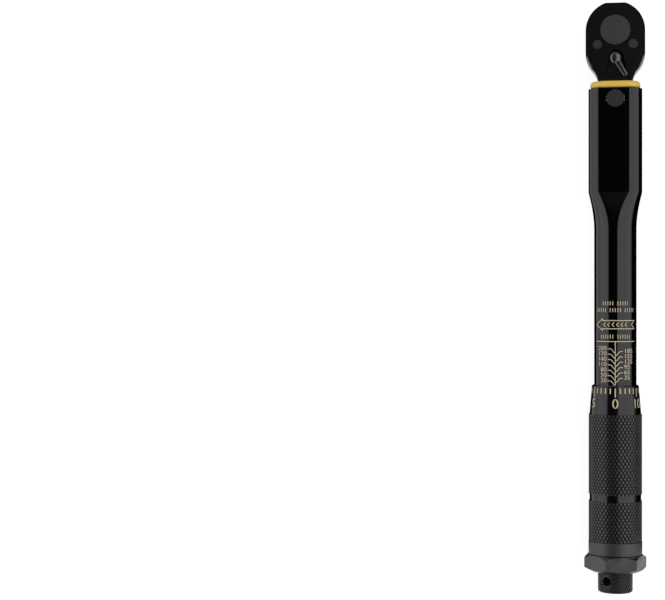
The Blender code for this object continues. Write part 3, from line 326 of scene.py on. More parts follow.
keyhole = arc((0.0, LEVER_Y), RECESS, math.pi / 2, 0.0) + [(RECESS_MOUTH, NECK_Y - PAST)]
head_cuts.append(prism("recess", mirrored(keyhole), FACE_Z - RECESS_DEPTH, above))
cover_seat = mirrored(head_side(COVER_INSET, COVER_FLANK))
head_cuts.append(prism("cover_seat", cover_seat, below, cover_high.z + PLAY))
gear_roof = FACE_Z - GEAR_ROOF
head_cuts.append(rod("gear_chamber", GEAR_TIP + PLAY, below, gear_roof))
head_cuts.append(rod("journal_bore", JOURNAL + PLAY / 2, below, above))
pawl_room = [(0.0, -GEAR_TIP), (PAWL_ROOM, -GEAR_TIP / 2), (PAWL_ROOM, LEVER_Y + RECESS)]
pawl_room += arc((0.0, LEVER_Y), RECESS, 0.0, -math.pi / 2)
head_cuts.append(prism("pawl_chamber", mirrored(pawl_room), below, pawl_high.z + PLAY))
stem_place = Matrix.Translation((0.0, LEVER_Y, 0.0))
head_cuts.append(rod("stem_bore", LEVER_STEM + PLAY, below, above, stem_place, SMALL_ROUND))
rivet_bore = [
    (0.0, above),
    (RIVET_HEAD + PLAY / 2, above),
    (RIVET_HEAD + PLAY / 2, FACE_Z - RIVET_DEPTH - PLAY),
    (RIVET_SHANK + PLAY, FACE_Z - RIVET_DEPTH - PLAY),
    (RIVET_SHANK + PLAY, below),
    (0.0, below),
]
for place in RIVET_PLACES:
    head_cuts.append(turned("rivet_bore", rivet_bore, Matrix.Translation(place), SMALL_ROUND))
tail_pivot = Matrix.Translation((0.0, PIVOT_Y, 0.0))
head_cuts.append(rod("tail_pivot", pin_radius + PLAY, below, above, tail_pivot))
tail_pocket = Matrix.Translation((0.0, head_low.y, 0.0))
head_cuts.append(rod("tail_pocket", BLOCK_POCKET, below, above, tail_pocket, SMALL_ROUND))

# Black oxide on ground steel: almost black, satin, with a faint mottle from the bath.
OXIDE_IOR = 1.42
blackened_steel = grained(
    "blackened_forged_steel", ("#070707", "#0c0c0c"), roughness=(0.2, 0.26), grain=0.6 * MM, detail=5.0,
    ior=OXIDE_IOR, bump=0.1,
)
add_piece("head_housing", shaped(forging, head_cuts), blackened_steel, "head", "black_enamel", "ratchet_head")

# Cover plate and rivets
# A stamped steel plate closes the gear chamber from below, held by two solid rivets.
# The rivets' heads are set flush in the plate and in the head's face, and ground with it.

cover_flank = COVER_FLANK - PLAY / FLANK
cover = prism("cover", mirrored(head_side(COVER_INSET + PLAY, cover_flank)), BELLY_Z, cover_high.z)
COVER_BORE = 6.3 * MM
cover_cuts = [rod("cover_bore", COVER_BORE, below, above)]
plate_bore = [
    (0.0, above),
    (RIVET_SHANK + PLAY, above),
    (RIVET_SHANK + PLAY, BELLY_Z + RIVET_DEPTH + PLAY),
    (RIVET_HEAD + PLAY / 2, BELLY_Z + RIVET_DEPTH + PLAY),
    (RIVET_HEAD + PLAY / 2, below),
    (0.0, below),
]
for place in RIVET_PLACES:
    cover_cuts.append(turned("plate_bore", plate_bore, Matrix.Translation(place), SMALL_ROUND))
add_piece("back_cover", shaped(cover, cover_cuts), blackened_steel, "head", "black_enamel", "cover_plate")

RIVET_EDGE = 0.12 * MM
TURNING_PITCH = 0.5 * MM


def phosphated_steel(name, centre, colours):
    """Phosphated steel, a matt dark grey, with the faint rings of the lathe round its own centre."""
    material, tree, shader, place = new_finish(name, colours[0], 0.5, 1.0)
    centred = add_node(tree, "ShaderNodeMapping", {"Vector": place, "Location": -Vector(centre)})
    rings = add_node(
        tree,
        "ShaderNodeTexWave",
        {"Vector": centred.outputs["Vector"], "Scale": 1 / (2 * math.pi * TURNING_PITCH), "Distortion": 1.5},
        wave_type="RINGS",
        rings_direction="Z",
    )
    mottle(tree, shader, rings.outputs["Fac"], colours, (0.46, 0.54), 0.1, 0.02 * MM)
    return material


for place, node in zip(RIVET_PLACES, ("cover_rivet_left", "cover_rivet_right")):
    rivet = [
        (0.0, FACE_Z),
        (RIVET_HEAD - RIVET_EDGE, FACE_Z),
        (RIVET_HEAD, FACE_Z - RIVET_EDGE),
        (RIVET_HEAD, FACE_Z - RIVET_DEPTH),
        (RIVET_SHANK, FACE_Z - RIVET_DEPTH),
        (RIVET_SHANK, BELLY_Z + RIVET_DEPTH),
        (RIVET_HEAD, BELLY_Z + RIVET_DEPTH),
        (RIVET_HEAD, BELLY_Z + RIVET_EDGE),
        (RIVET_HEAD - RIVET_EDGE, BELLY_Z),
        (0.0, BELLY_Z),
    ]
    mesh = turned("rivet", rivet, Matrix.Translation(place), SMALL_ROUND)
    finish = phosphated_steel("phosphated_" + node, place, ("#424242", "#3b3b3b"))
    add_piece(node.replace("cover_", ""), mesh, finish, "head", "dark_steel", node)

# Drive gear
# One turned and hobbed steel part: a journal flush with the head's face, a 36-tooth ratchet wheel,
# a lower journal and the square that takes a socket, cross-drilled for its ball.

GEAR_TEETH = 36
TOOTH_HEIGHT = 0.9 * MM
LOWER_JOURNAL = 6.0 * MM
SQUARE = 6.35 * MM
SQUARE_EDGE = 0.5 * MM
JOURNAL_EDGE = 0.15 * MM
BALL_HEIGHT = 3.2 * MM
BALL_BORE = 1.5 * MM
BALL_BORE_END = -1.225 * MM

wheel_low = cover_high.z + 2 * PLAY
wheel_high = gear_roof - PLAY
teeth = []
for step in range(2 * GEAR_TEETH):
    radius = GEAR_TIP - TOOTH_HEIGHT * (step % 2)
    angle = math.pi * step / GEAR_TEETH - math.pi / 2
    teeth.append((radius * math.cos(angle), radius * math.sin(angle)))
journals = [
    (0.0, FACE_Z),
    (JOURNAL - JOURNAL_EDGE, FACE_Z),
    (JOURNAL, FACE_Z - JOURNAL_EDGE),
    (JOURNAL, AXIS_Z),
    (LOWER_JOURNAL, AXIS_Z),
    (LOWER_JOURNAL, BELLY_Z + JOURNAL_EDGE),
    (LOWER_JOURNAL - JOURNAL_EDGE, BELLY_Z),
    (0.0, BELLY_Z),
]
half = SQUARE / 2
flat = half - SQUARE_EDGE
eighth = [(half, flat), (flat, half), (-flat, half), (-half, flat)]
square = eighth + [(-x, -y) for x, y in eighth]
tip = [(x * flat / half, y * flat / half, gear_low.z) for x, y in square]
shank = [[(x, y, z) for x, y in square] for z in (gear_low.z + SQUARE_EDGE, AXIS_Z)]
gear = shaped(
    prism("wheel", teeth, wheel_low, wheel_high),
    [turned("journals", journals), stacked("square", [tip, *shank])],
    "UNION",
)
along = Matrix.Translation((0.0, 0.0, BALL_HEIGHT)) @ Matrix.Rotation(-math.pi / 2, 4, "X")
gear = shaped(gear, [rod("ball_bore", BALL_BORE, BALL_BORE_END, SQUARE, along, SMALL_ROUND)])
journal_steel = phosphated_steel("phosphated_drive_steel", (0.0, 0.0, 0.0), ("#4a4a4a", "#454545"))
add_piece("drive_journal", gear, journal_steel, "drive", "dark_steel", "drive_gear")

# Ball detent
# A hardened bearing ball and its music-wire spring sit in the cross-hole of the square.
# The hole's lip is rolled in so that the ball stands proud but stays in.


def bare_steel(name, colours, roughness, grain):
    """Bare oiled steel: bright and a little streaked along the wrench, as it was drawn or ground."""
    return grained(
        name, colours, roughness=(roughness - 0.06, roughness + 0.06), grain=grain,
        stretch=(1.0, 0.15, 1.0), detail=4.0, metallic=1.0, bump=0.1, height=0.02 * MM,
    )


bright_steel = bare_steel("hardened_bright_steel", ("#b4b4b4", "#c6c6c6"), 0.22, 0.4 * MM)
grey_steel = bare_steel("oiled_turned_steel", ("#8e8e90", "#9d9d9f"), 0.34, 0.5 * MM)
dark_steel = bare_steel("oil_blacked_steel", ("#3c3c3d", "#474748"), 0.42, 0.5 * MM)
spring_wire = bare_steel("music_wire", ("#707072", "#808082"), 0.30, 0.3 * MM)

ball_low, ball_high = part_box("detent_ball")
ball_centre = (ball_low + ball_high) / 2
ball_radius = (ball_high.z - ball_low.z) / 2
meridian = [(x, y) for y, x in arc((0.0, 0.0), ball_radius, 0.0, math.pi)]
meridian[0] = (0.0, ball_radius)
meridian[-1] = (0.0, -ball_radius)
ball = turned("ball", meridian, Matrix.Translation(ball_centre), SMALL_ROUND)
add_piece("socket_ball", ball, bright_steel, "detent", "bright_steel", "detent_ball")


def dress(finish, *nodes):
    """Gives CAD nodes whose shape is kept a finish."""
    for node in nodes:
        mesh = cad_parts[node].data
        mesh.materials.clear()
        mesh.materials.append(finish)


dress(spring_wire, "detent_spring")

# Reverse lever and pawl
# A die-cast lever with a round boss and a tapered arm lies in the keyhole of the head's face.
# Its stem carries a spring plunger that throws the pawl over, and a wire clip keeps it in.

BOSS = 3.0 * MM
BOSS_HEIGHT = 2.2 * MM
BOSS_POWER = 0.75
ARM_ANGLE = math.radians(30)
ARM_LENGTH = 10.2 * MM
ARM_HALF = 1.65 * MM
ARM_TIP_HALF = 1.3 * MM
ARM_TIP_ROUND = 0.7 * MM
ARM_HEIGHT = 1.6 * MM
ARM_EDGE = 0.95 * MM
ARM_CROWN = 1.0 * MM
CLIP_GROOVE = 0.5 * MM
clip_low, clip_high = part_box("lever_clip")
lever_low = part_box("reverse_lever")[0]

base = FACE_Z - RECESS_DEPTH + PLAY
boss = []
for step in range(ARC_STEPS + 1):
    angle = math.pi / 2 * step / ARC_STEPS
    boss.append((BOSS * math.sin(angle), base + BOSS_HEIGHT * math.cos(angle) ** BOSS_POWER))
boss[-1] = (BOSS, base)
stem = [
    (LEVER_STEM, base),
    (LEVER_STEM, clip_high.z + PLAY / 2),
    (LEVER_STEM - CLIP_GROOVE, clip_high.z + PLAY / 2),
    (LEVER_STEM - CLIP_GROOVE, clip_low.z - PLAY / 2),
    (LEVER_STEM, clip_low.z - PLAY / 2),
    (LEVER_STEM, lever_low.z),
    (0.0, lever_low.z),
]
arm_place = stem_place @ Matrix.Rotation(ARM_ANGLE, 4, "Z")


def arm_outline(inset, z):
    """The tapered arm's outline at a height, with a rounded tip, set in from its edge."""
    squat = ARM_TIP_ROUND / ARM_TIP_HALF
    tip = arc((0.0, 0.0), ARM_TIP_HALF - inset, 0.0, -math.pi / 2, ARC_STEPS // 2)
    tip = [(x, y * squat + ARM_TIP_ROUND - ARM_LENGTH) for x, y in tip]
    outline = mirrored([(ARM_HALF - inset, 0.0)] + tip)
    return [arm_place @ Vector((x, y, z)) for x, y in outline]


arm_levels = [(base, 0.0)]
for out, rise in arc((0.0, 0.0), 1.0, 0.0, math.pi / 2, ARC_STEPS // 2):
    arm_levels.append((base + ARM_HEIGHT - ARM_CROWN * (1 - rise), ARM_EDGE * (1 - out)))
arm = stacked("arm", [arm_outline(inset, z) for z, inset in arm_levels])
lever = shaped(turned("boss", boss + stem, stem_place), [arm], "UNION")
plunger_height = (pawl_low.z + pawl_high.z) / 2
PLUNGER_BORE = 0.85 * MM
PLUNGER_BORE_END = -1.3 * MM
across = arm_place @ Matrix.Translation((0.0, 0.0, plunger_height)) @ Matrix.Rotation(-math.pi / 2, 4, "X")
lever = shaped(lever, [rod("plunger_bore", PLUNGER_BORE, PLUNGER_BORE_END, BOSS, across, SMALL_ROUND)])

# Satin nickel on zinc: a soft grey shine with a fine tumbled grain.
satin_nickel = grained(
    "satin_nickel_casting", ("#4a4a4a", "#545454"), roughness=(0.24, 0.32), grain=0.4 * MM,
    metallic=1.0, bump=0.1, height=0.03 * MM,
)
add_piece("lever_casting", lever, satin_nickel, "lever", "satin_steel", "reverse_lever")
dress(spring_wire, "lever_spring", "lever_clip")
dress(bright_steel, "lever_plunger")
dress(dark_steel, "ratchet_pawl")

# Tube
# Drawn steel tube, pressed flat over the head's tail and left round behind it.
# It is dipped and stoved in a glossy black enamel that mirrors the lights in crisp bands.

tube_low, tube_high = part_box("tube")
TUBE = 10.0 * MM
TUBE_WALL = 1.5 * MM
FLAT_HALF = 12.7 * MM
FLAT_RISE = 6.8 * MM
FLAT_LENGTH = 49.3 * MM
FLARE_LENGTH = 18.6 * MM
FLARE_SKEW = 0.6
FLARE_STEPS = 28
SECTION_STEPS = 128
PIN_BORE = 1.8 * MM
nut_pin_low, nut_pin_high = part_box("nut_pin")


def tube_section(half_width, rise, y):
    """Points round a flattened circle, or a circle where both half sizes are equal."""
    points = []
    for k in range(SECTION_STEPS):
        angle = 2 * math.pi * k / SECTION_STEPS
        side = math.cos(angle)
        shift = 0.0 if abs(side) < WELD else math.copysign(half_width - rise, side)
        points.append((shift + rise * side, y, AXIS_Z + rise * math.sin(angle)))
    return points


stations = [(tube_high.y, 0.0)]
for step in range(FLARE_STEPS + 1):
    share = step / FLARE_STEPS
    eased = share ** FLARE_SKEW
    y = tube_high.y - FLAT_LENGTH - FLARE_LENGTH * share
    stations.append((y, eased * eased * (3 - 2 * eased)))
stations.append((tube_low.y, 1.0))
outer = []
inner = []
for y, roundness in stations:
    half_width = FLAT_HALF + (TUBE - FLAT_HALF) * roundness
    rise = FLAT_RISE + (TUBE - FLAT_RISE) * roundness
    outer.append(tube_section(half_width, rise, y))
    inner.append(tube_section(half_width - TUBE_WALL, rise - TUBE_WALL, y))
form = bmesh.new()
rings = [[form.verts.new(point) for point in section] for section in outer + inner[::-1]]
for near, far in zip(rings, rings[1:] + rings[:1]):
    for k in range(SECTION_STEPS):
        after = (k + 1) % SECTION_STEPS
        form.faces.new((near[k], near[after], far[after], far[k]))
pin_place = Matrix.Translation((0.0, (nut_pin_low.y + nut_pin_high.y) / 2, 0.0))
through = (BELLY_Z - FLAT_HALF, FACE_Z + FLAT_HALF)
tube_cuts = [
    rod("pivot_bore", pin_radius + PLAY / 2, *through, tail_pivot),
    rod("pin_bore", PIN_BORE, BELLY_Z - FLAT_HALF, AXIS_Z - TUBE / 2, pin_place, SMALL_ROUND),
]
tube = shaped(mesh_from("tube", form), tube_cuts)

# Stoved enamel: deep black and glossy, with an orange peel too shallow to break the reflections.
ENAMEL_IOR = 1.42
black_enamel = grained(
    "stoved_black_enamel", ("#030303", "#040404"), roughness=(0.07, 0.12), grain=2.5 * MM, detail=2.0,
    ior=ENAMEL_IOR, bump=0.02, height=0.02 * MM,
)
add_piece("tube_enamelled", tube, black_enamel, "tube", "black_enamel", "tube")

# Pivot pin
# A ground steel pin through tube and tail, pressed in flush with the flats.
# The head tips on it when the set torque is reached.

PIN_EDGE = 0.12 * MM
pin_top = AXIS_Z + FLAT_RISE
pin_bottom = AXIS_Z - FLAT_RISE
pivot = [
    (0.0, pin_top),
    (pin_radius - PIN_EDGE, pin_top),
    (pin_radius, pin_top - PIN_EDGE),
    (pin_radius, pin_bottom + PIN_EDGE),
    (pin_radius - PIN_EDGE, pin_bottom),
    (0.0, pin_bottom),
]
pivot_steel = phosphated_steel("phosphated_pivot_steel", (0.0, PIVOT_Y, 0.0), ("#3e3e3e", "#383838"))
add_piece("pivot", turned("pivot", pivot, tail_pivot), pivot_steel, "tube", "dark_steel", "pivot_pin")

# Mouth collar
# A yellow moulded plastic collar closes the tube's mouth round the neck.
# Two tongues on its back snap into the flattened bore.

COLLAR_HALF = collar_high.x
COLLAR_RISE = collar_high.z - AXIS_Z
COLLAR_NOSE = 1.4 * MM
COLLAR_CORNER = 1.6 * MM
COLLAR_EDGE = 0.7 * MM
COLLAR_BACK = 1.0 * MM
COLLAR_WINDOW_HALF = NECK_HALF + 2 * PLAY
COLLAR_WINDOW_RISE = TAIL_RISE + PLAY
COLLAR_LENGTH = 3.2 * MM
TONGUE_RISE = 2.0 * MM
TONGUE_OUT = 10.6 * MM

collar_rear = NECK_Y - COLLAR_LENGTH
collar_sections = []
rounding = arc((0.0, 0.0), 1.0, 0.0, math.pi / 2, ARC_STEPS // 2)
for out, rise in reversed(rounding):
    inset = COLLAR_EDGE * (1 - out)
    y = collar_rear + COLLAR_BACK * (1 - rise)
    collar_sections.append(tube_section(COLLAR_HALF - inset, COLLAR_RISE - inset, y))
for out, rise in rounding:
    half_width = COLLAR_HALF - COLLAR_CORNER * (1 - out)
    y = NECK_Y - COLLAR_NOSE * (1 - rise)
    collar_sections.append(tube_section(half_width, COLLAR_RISE - COLLAR_EDGE * (1 - out), y))
collar = stacked("collar", collar_sections)
for side in (-1, 1):
    outline = [
        (side * COLLAR_WINDOW_HALF, collar_rear + COLLAR_LENGTH / 2),
        (side * TONGUE_OUT, collar_rear + COLLAR_LENGTH / 2),
        (side * TONGUE_OUT, collar_low.y),
        (side * COLLAR_WINDOW_HALF, collar_low.y),
    ]
    tongue = prism("tongue", outline, AXIS_Z - TONGUE_RISE, AXIS_Z + TONGUE_RISE)
    collar = shaped(collar, [tongue], "UNION")
window = mirrored([(COLLAR_WINDOW_HALF, NECK_Y + PAST), (COLLAR_WINDOW_HALF, collar_low.y - PAST)])
window_cut = prism("window", window, AXIS_Z - COLLAR_WINDOW_RISE, AXIS_Z + COLLAR_WINDOW_RISE)

# Moulded nylon: an even warm yellow, half matt, with the fine spark grain of the mould.
yellow_nylon = grained(
    "moulded_yellow_nylon", ("#c8a540", "#d2b04b"), roughness=(0.36, 0.46), grain=0.5 * MM, bump=0.15,
    height=0.03 * MM,
)
add_piece(
    "collar_moulding", shaped(collar, [window_cut]), yellow_nylon, "tube", "yellow_plastic", "mouth_collar"
)

# Main scale
# The tube is pad-printed in a warm cream ink: plain marks, an arrow, and a scale like a fish bone,
# numbered from 200 down to 20 where the grip's edge rests.

grip_low, grip_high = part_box("grip_sleeve")
INK_PROUD = 0.03 * MM
INK_BURIED = 0.03 * MM
INK_STEP = 0.4 * MM
LINE = 0.38 * MM
FONT_HEIGHT = 0.7
FONT_STEPS = 4
MITRE_LIMIT = 0.5


def ribbon(form, points, width):
    """Adds a flat stroke of even width along points, with mitred corners."""
    path = [Vector(p) for p in points]
    closed = (path[0] - path[-1]).length < WELD
    edges = []
    for i, point in enumerate(path):
        before = path[i - 1] if i else (path[-2] if closed else None)
        after = path[i + 1] if i + 1 < len(path) else (path[1] if closed else None)
        normals = []
        for start, end in ((before, point), (point, after)):
            if start is not None and end is not None:
                way = (end - start).normalized()
                normals.append(Vector((-way.y, way.x)))
        mean = sum(normals, Vector((0.0, 0.0))).normalized()
        reach = width / 2 / max(mean.dot(normals[0]), MITRE_LIMIT)
        edges.append([form.verts.new((*(point + mean * sign * reach), 0.0)) for sign in (1, -1)])
    for near, far in zip(edges, edges[1:]):
        form.faces.new((near[0], near[1], far[1], far[0]))


def stepped(points):
    """The same line with points close enough together to bend round the tube."""
    line = [Vector(points[0])]
    for end in points[1:]:
        start = line[-1]
        count = max(1, math.ceil((Vector(end) - start).length / INK_STEP))
        line += [start.lerp(Vector(end), (i + 1) / count) for i in range(count)]
    return line


def numeral(form, text, height, place, align="CENTER", stretch=1.0, bold=0.0):
    """Adds flat figures of a given height, level with a point and aligned to it."""
    curve = bpy.data.curves.new("numeral", "FONT")
    curve.body = text
    curve.size = height / FONT_HEIGHT
    curve.offset = bold
    curve.align_x = align
    curve.resolution_u = FONT_STEPS
    figure = bpy.data.objects.new("numeral", curve)
    bpy.context.scene.collection.objects.link(figure)
    graph = bpy.context.evaluated_depsgraph_get()
    mesh = bpy.data.meshes.new_from_object(figure.evaluated_get(graph))
    mesh.transform(Matrix.Diagonal((stretch, 1.0, 1.0, 1.0)))
    mesh.transform(Matrix.Translation((place[0], place[1] - height / 2, 0.0)))
    form.from_mesh(mesh)
    bpy.data.objects.remove(figure)
    bpy.data.meshes.remove(mesh)


def printed(name, form, radius_at, girth_radius):
    """Gives flat marks their ink's thickness and wraps them round the wrench's axis."""
    bmesh.ops.remove_doubles(form, verts=form.verts, dist=WELD)
    for face in form.faces:
        face.normal_update()
        if face.normal.z < 0:
            face.normal_flip()
    bmesh.ops.solidify(form, geom=list(form.faces), thickness=LINE)
    middle = sum(v.co.z for v in form.verts) / len(form.verts)
    for vert in form.verts:
        radius = radius_at(vert.co.y)
        angle = vert.co.x / girth_radius
        radius += INK_PROUD if vert.co.z > middle else -INK_BURIED
        vert.co = (radius * math.sin(angle), vert.co.y, AXIS_Z + radius * math.cos(angle))
    bmesh.ops.recalc_face_normals(form, faces=form.faces)
    mesh = bpy.data.meshes.new(name)
    form.to_mesh(mesh)
    form.free()
    return mesh


def tree_with(name, inputs):
    """A geometry tree with a geometry in and out, named inputs and its group input node."""
    tree = bpy.data.node_groups.new(name, "GeometryNodeTree")
    tree.interface.new_socket("Geometry", in_out="OUTPUT", socket_type="NodeSocketGeometry")
    tree.interface.new_socket("Geometry", in_out="INPUT", socket_type="NodeSocketGeometry")
    for label, value in inputs.items():
        kind = "NodeSocketInt" if isinstance(value, int) else "NodeSocketFloat"
        tree.interface.new_socket(label, in_out="INPUT", socket_type=kind)
    return tree, add_node(tree, "NodeGroupInput").outputs


def grown(mesh, tree, inputs, geometry, finish):
    """Ends a geometry tree, sets its inputs, and gives back what it makes of a mesh as a plain mesh."""
    real = add_node(tree, "GeometryNodeRealizeInstances", {"Geometry": geometry})
    inked = add_node(tree, "GeometryNodeSetMaterial", {"Geometry": real.outputs[0], "Material": finish})
    add_node(tree, "NodeGroupOutput", {0: inked.outputs[0]})
    carrier = bpy.data.objects.new(tree.name, mesh)
    step = carrier.modifiers.new(tree.name, "NODES")
    step.node_group = tree
    for socket in tree.interface.items_tree:
        if socket.in_out == "INPUT" and socket.name in inputs:
            step[socket.identifier] = inputs[socket.name]
    bpy.context.scene.collection.objects.link(carrier)
    graph = bpy.context.evaluated_depsgraph_get()
    result = bpy.data.meshes.new_from_object(carrier.evaluated_get(graph))
    carrier.modifiers.clear()
    bpy.data.objects.remove(carrier)
    return result


# Pad-printing ink: cream with a touch of gold, matt, thin enough to let a little black through.
cream_ink = grained(
    "cream_printing_ink", ("#a89c80", "#bdb195"), roughness=(0.5, 0.6), grain=0.35 * MM, detail=2.0
)

BACKBONE_TOP = -148.4 * MM
BACKBONE_HALF = 10.7 * MM
MARK_PITCH = 2.54 * MM
LAST_MARK = grip_high.y + 0.2 * MM
BRANCH_REACH = 3.6 * MM
BRANCH_RISE = 2.1 * MM
BRANCH_FLAT = 0.34
LABEL_HEIGHT = 2.0 * MM
LABEL_STRETCH = 1.2
LABEL_EDGE = 4.1 * MM
LABEL_RAISED = 0.35 * MM
LEFT_LABELS = range(20, 201, 30)
RIGHT_LABELS = range(35, 186, 30)


def branch(side):
    """One curved branch of the scale, from the backbone up to its label."""
    line = []
    for step in range(ARC_STEPS + 1):
        share = step / ARC_STEPS
        eased = min(1.0, share / (1 - BRANCH_FLAT))
        line.append((side * BRANCH_REACH * share, BRANCH_RISE * eased * eased * (3 - 2 * eased)))
    return stroke(line, LINE)


def repeated(mesh, count, start, step):
    """A mark repeated in a straight row, from a place on in even steps."""
    inputs = {
        "Count": count,
        "Start across": start[0],
        "Start along": start[1],
        "Step across": step[0],
        "Step along": step[1],
    }
    tree, given = tree_with("repeated_marks", inputs)
    first = add_node(tree, "ShaderNodeCombineXYZ", {"X": given["Start across"], "Y": given["Start along"]})
    offset = add_node(tree, "ShaderNodeCombineXYZ", {"X": given["Step across"], "Y": given["Step along"]})
    row = add_node(
        tree,
        "GeometryNodeMeshLine",
        {"Count": given["Count"], "Start Location": first.outputs[0], "Offset": offset.outputs[0]},
    )
    marks = add_node(
        tree, "GeometryNodeInstanceOnPoints", {"Points": row.outputs[0], "Instance": given["Geometry"]}
    )
    return grown(mesh, tree, inputs, marks.outputs[0], cream_ink)


def stroke(points, width):
    """A single flat mark along points, for repeating."""
    form = bmesh.new()
    ribbon(form, stepped(points), width)
    return mesh_from("stroke", form)


scale_marks = bmesh.new()
ribbon(scale_marks, stepped([(-BACKBONE_HALF, BACKBONE_TOP), (BACKBONE_HALF, BACKBONE_TOP)]), LINE)
ribbon(scale_marks, stepped([(0.0, BACKBONE_TOP), (0.0, LAST_MARK)]), LINE)
for side, labels in ((-1, LEFT_LABELS), (1, RIGHT_LABELS)):
    first = LAST_MARK + (labels[0] - LEFT_LABELS[0]) / LEFT_LABELS.step * MARK_PITCH
    scale_marks.from_mesh(repeated(branch(side), len(labels), (0.0, first), (0.0, MARK_PITCH)))
    align = "LEFT" if side > 0 else "RIGHT"
    for row, value in enumerate(labels):
        place = (side * LABEL_EDGE, first + row * MARK_PITCH + BRANCH_RISE + LABEL_RAISED)
        numeral(scale_marks, str(value), LABEL_HEIGHT, place, align, LABEL_STRETCH)

# The arrow points left, with a swallow tail and chevrons; rows of plain ticks stand above and below.
ARROW_Y = -140.4 * MM
ARROW_TIP = -10.4 * MM
ARROW_BARB = -6.4 * MM
ARROW_END = 10.6 * MM
ARROW_NOTCH = 8.5 * MM
SHAFT_HALF = 1.95 * MM
BARB_HALF = 2.75 * MM
arrow = [
    (ARROW_TIP, 0.0),
    (ARROW_BARB, BARB_HALF),
    (ARROW_BARB, SHAFT_HALF),
    (ARROW_END, SHAFT_HALF),
    (ARROW_NOTCH, 0.0),
    (ARROW_END, -SHAFT_HALF),
    (ARROW_BARB, -SHAFT_HALF),
    (ARROW_BARB, -BARB_HALF),
    (ARROW_TIP, 0.0),
]
ribbon(scale_marks, stepped([(x, ARROW_Y + y) for x, y in arrow]), LINE)
CHEVRONS = 6
CHEVRON_HALF = 1.05 * MM
CHEVRON_LENGTH = 1.0 * MM
CHEVRON_STEP = 2.1 * MM
chevron = stroke([(CHEVRON_LENGTH, CHEVRON_HALF), (0.0, 0.0), (CHEVRON_LENGTH, -CHEVRON_HALF)], LINE)
chevron_start = (-((CHEVRONS - 1) * CHEVRON_STEP + CHEVRON_LENGTH) / 2, ARROW_Y)
scale_marks.from_mesh(repeated(chevron, CHEVRONS, chevron_start, (CHEVRON_STEP, 0.0)))
RULE_TICK = 1.9 * MM
RULE_STEP = 1.2 * MM
RULE_GAP = 2.4 * MM
RULE_ROWS = ((-130.3 * MM, (5, 5)), (-133.5 * MM, (5, 5, 5)), (-146.1 * MM, (6, 6)))
rule_tick = stroke([(0.0, RULE_TICK / 2), (0.0, -RULE_TICK / 2)], LINE)
for y, groups in RULE_ROWS:
    x = -((sum(groups) - len(groups)) * RULE_STEP + (len(groups) - 1) * RULE_GAP) / 2
    for ticks in groups:
        scale_marks.from_mesh(repeated(rule_tick, ticks, (x, y), (RULE_STEP, 0.0)))
        x += (ticks - 1) * RULE_STEP + RULE_GAP
scale = printed("main_scale", scale_marks, lambda y: TUBE, TUBE)
add_piece("main_scale_print", scale, cream_ink, "tube", "yellow_plastic")

# Click mechanism, spring and adjuster
# Hardened and turned steel parts inside the tube, oiled and never seen from outside:
# click block, plunger, coil spring and its seat, and the nut that the adjusting screw turns in.

dress(bright_steel, "click_block", "thrust_washer", "nut_pin", "lock_wedge")
dress(grey_steel, "thrust_plunger", "spring_seat", "adjuster_nut", "adjusting_screw", "lock_rod")
dress(spring_wire, "main_spring")

# Grip sleeve
# A turned steel sleeve slides and turns on the tube: a numbered cone, two knurled bands with a
# groove between them and a plain ring. The cone is polished and chromed black, the ring left grey.

SLEEVE_NOSE = 11.1 * MM
CONE_LENGTH = 13.9 * MM
CONE = 12.2 * MM
KNURL = 12.6 * MM
KNURL_ROUND = 42
KNURL_ALONG = 2.95 * MM
KNURL_DEPTH = 0.45 * MM
KNURL_FLAT = 0.62
FRONT_KNURL = 38.1 * MM
GROOVE = 3.3 * MM
REAR_KNURL = 19.1 * MM
RING = 12.7 * MM
EDGE = 0.4 * MM
SLEEVE_BORE = TUBE + PLAY
SLEEVE_EYE = 5.3 * MM
SLEEVE_WEB = 11.7 * MM
ALONG = Matrix.Translation((0.0, 0.0, AXIS_Z)) @ Matrix.Rotation(-math.pi / 2, 4, "X")

cone_end = grip_high.y - CONE_LENGTH
groove_front = cone_end - FRONT_KNURL
groove_rear = groove_front - GROOVE
ring_front = groove_rear - REAR_KNURL
knurl_core = KNURL - KNURL_DEPTH + 2 * INK_PROUD
sleeve = [
    (SLEEVE_NOSE - EDGE, grip_high.y),
    (SLEEVE_NOSE, grip_high.y - EDGE),
    (CONE, cone_end),
    (knurl_core, cone_end),
    (knurl_core, groove_front),
    (CONE, groove_front),
    (CONE, groove_rear),
    (knurl_core, groove_rear),
    (knurl_core, ring_front),
    (RING - EDGE, ring_front),
    (RING, ring_front - EDGE),
    (RING, grip_low.y + EDGE),
    (RING - EDGE, grip_low.y),
    (SLEEVE_EYE, grip_low.y),
    (SLEEVE_EYE, grip_low.y + SLEEVE_WEB),
    (SLEEVE_BORE, grip_low.y + SLEEVE_WEB),
    (SLEEVE_BORE, grip_high.y),
]

# Black chrome over fine turning: a dark mirror on the cone, softened by lines round it.
ROUND_THE_AXIS = (0.1, 1.0, 0.1)
black_chrome = grained(
    "black_chromed_turned_steel", ("#050505", "#080808"), roughness=(0.12, 0.2), grain=0.3 * MM,
    stretch=ROUND_THE_AXIS, detail=2.0, ior=OXIDE_IOR, bump=0.03, height=0.01 * MM,
)
grip_sleeve = add_piece(
    "sleeve_turning", turned("sleeve", sleeve, ALONG), black_chrome, "grip", "black_grip", "grip_sleeve"
)


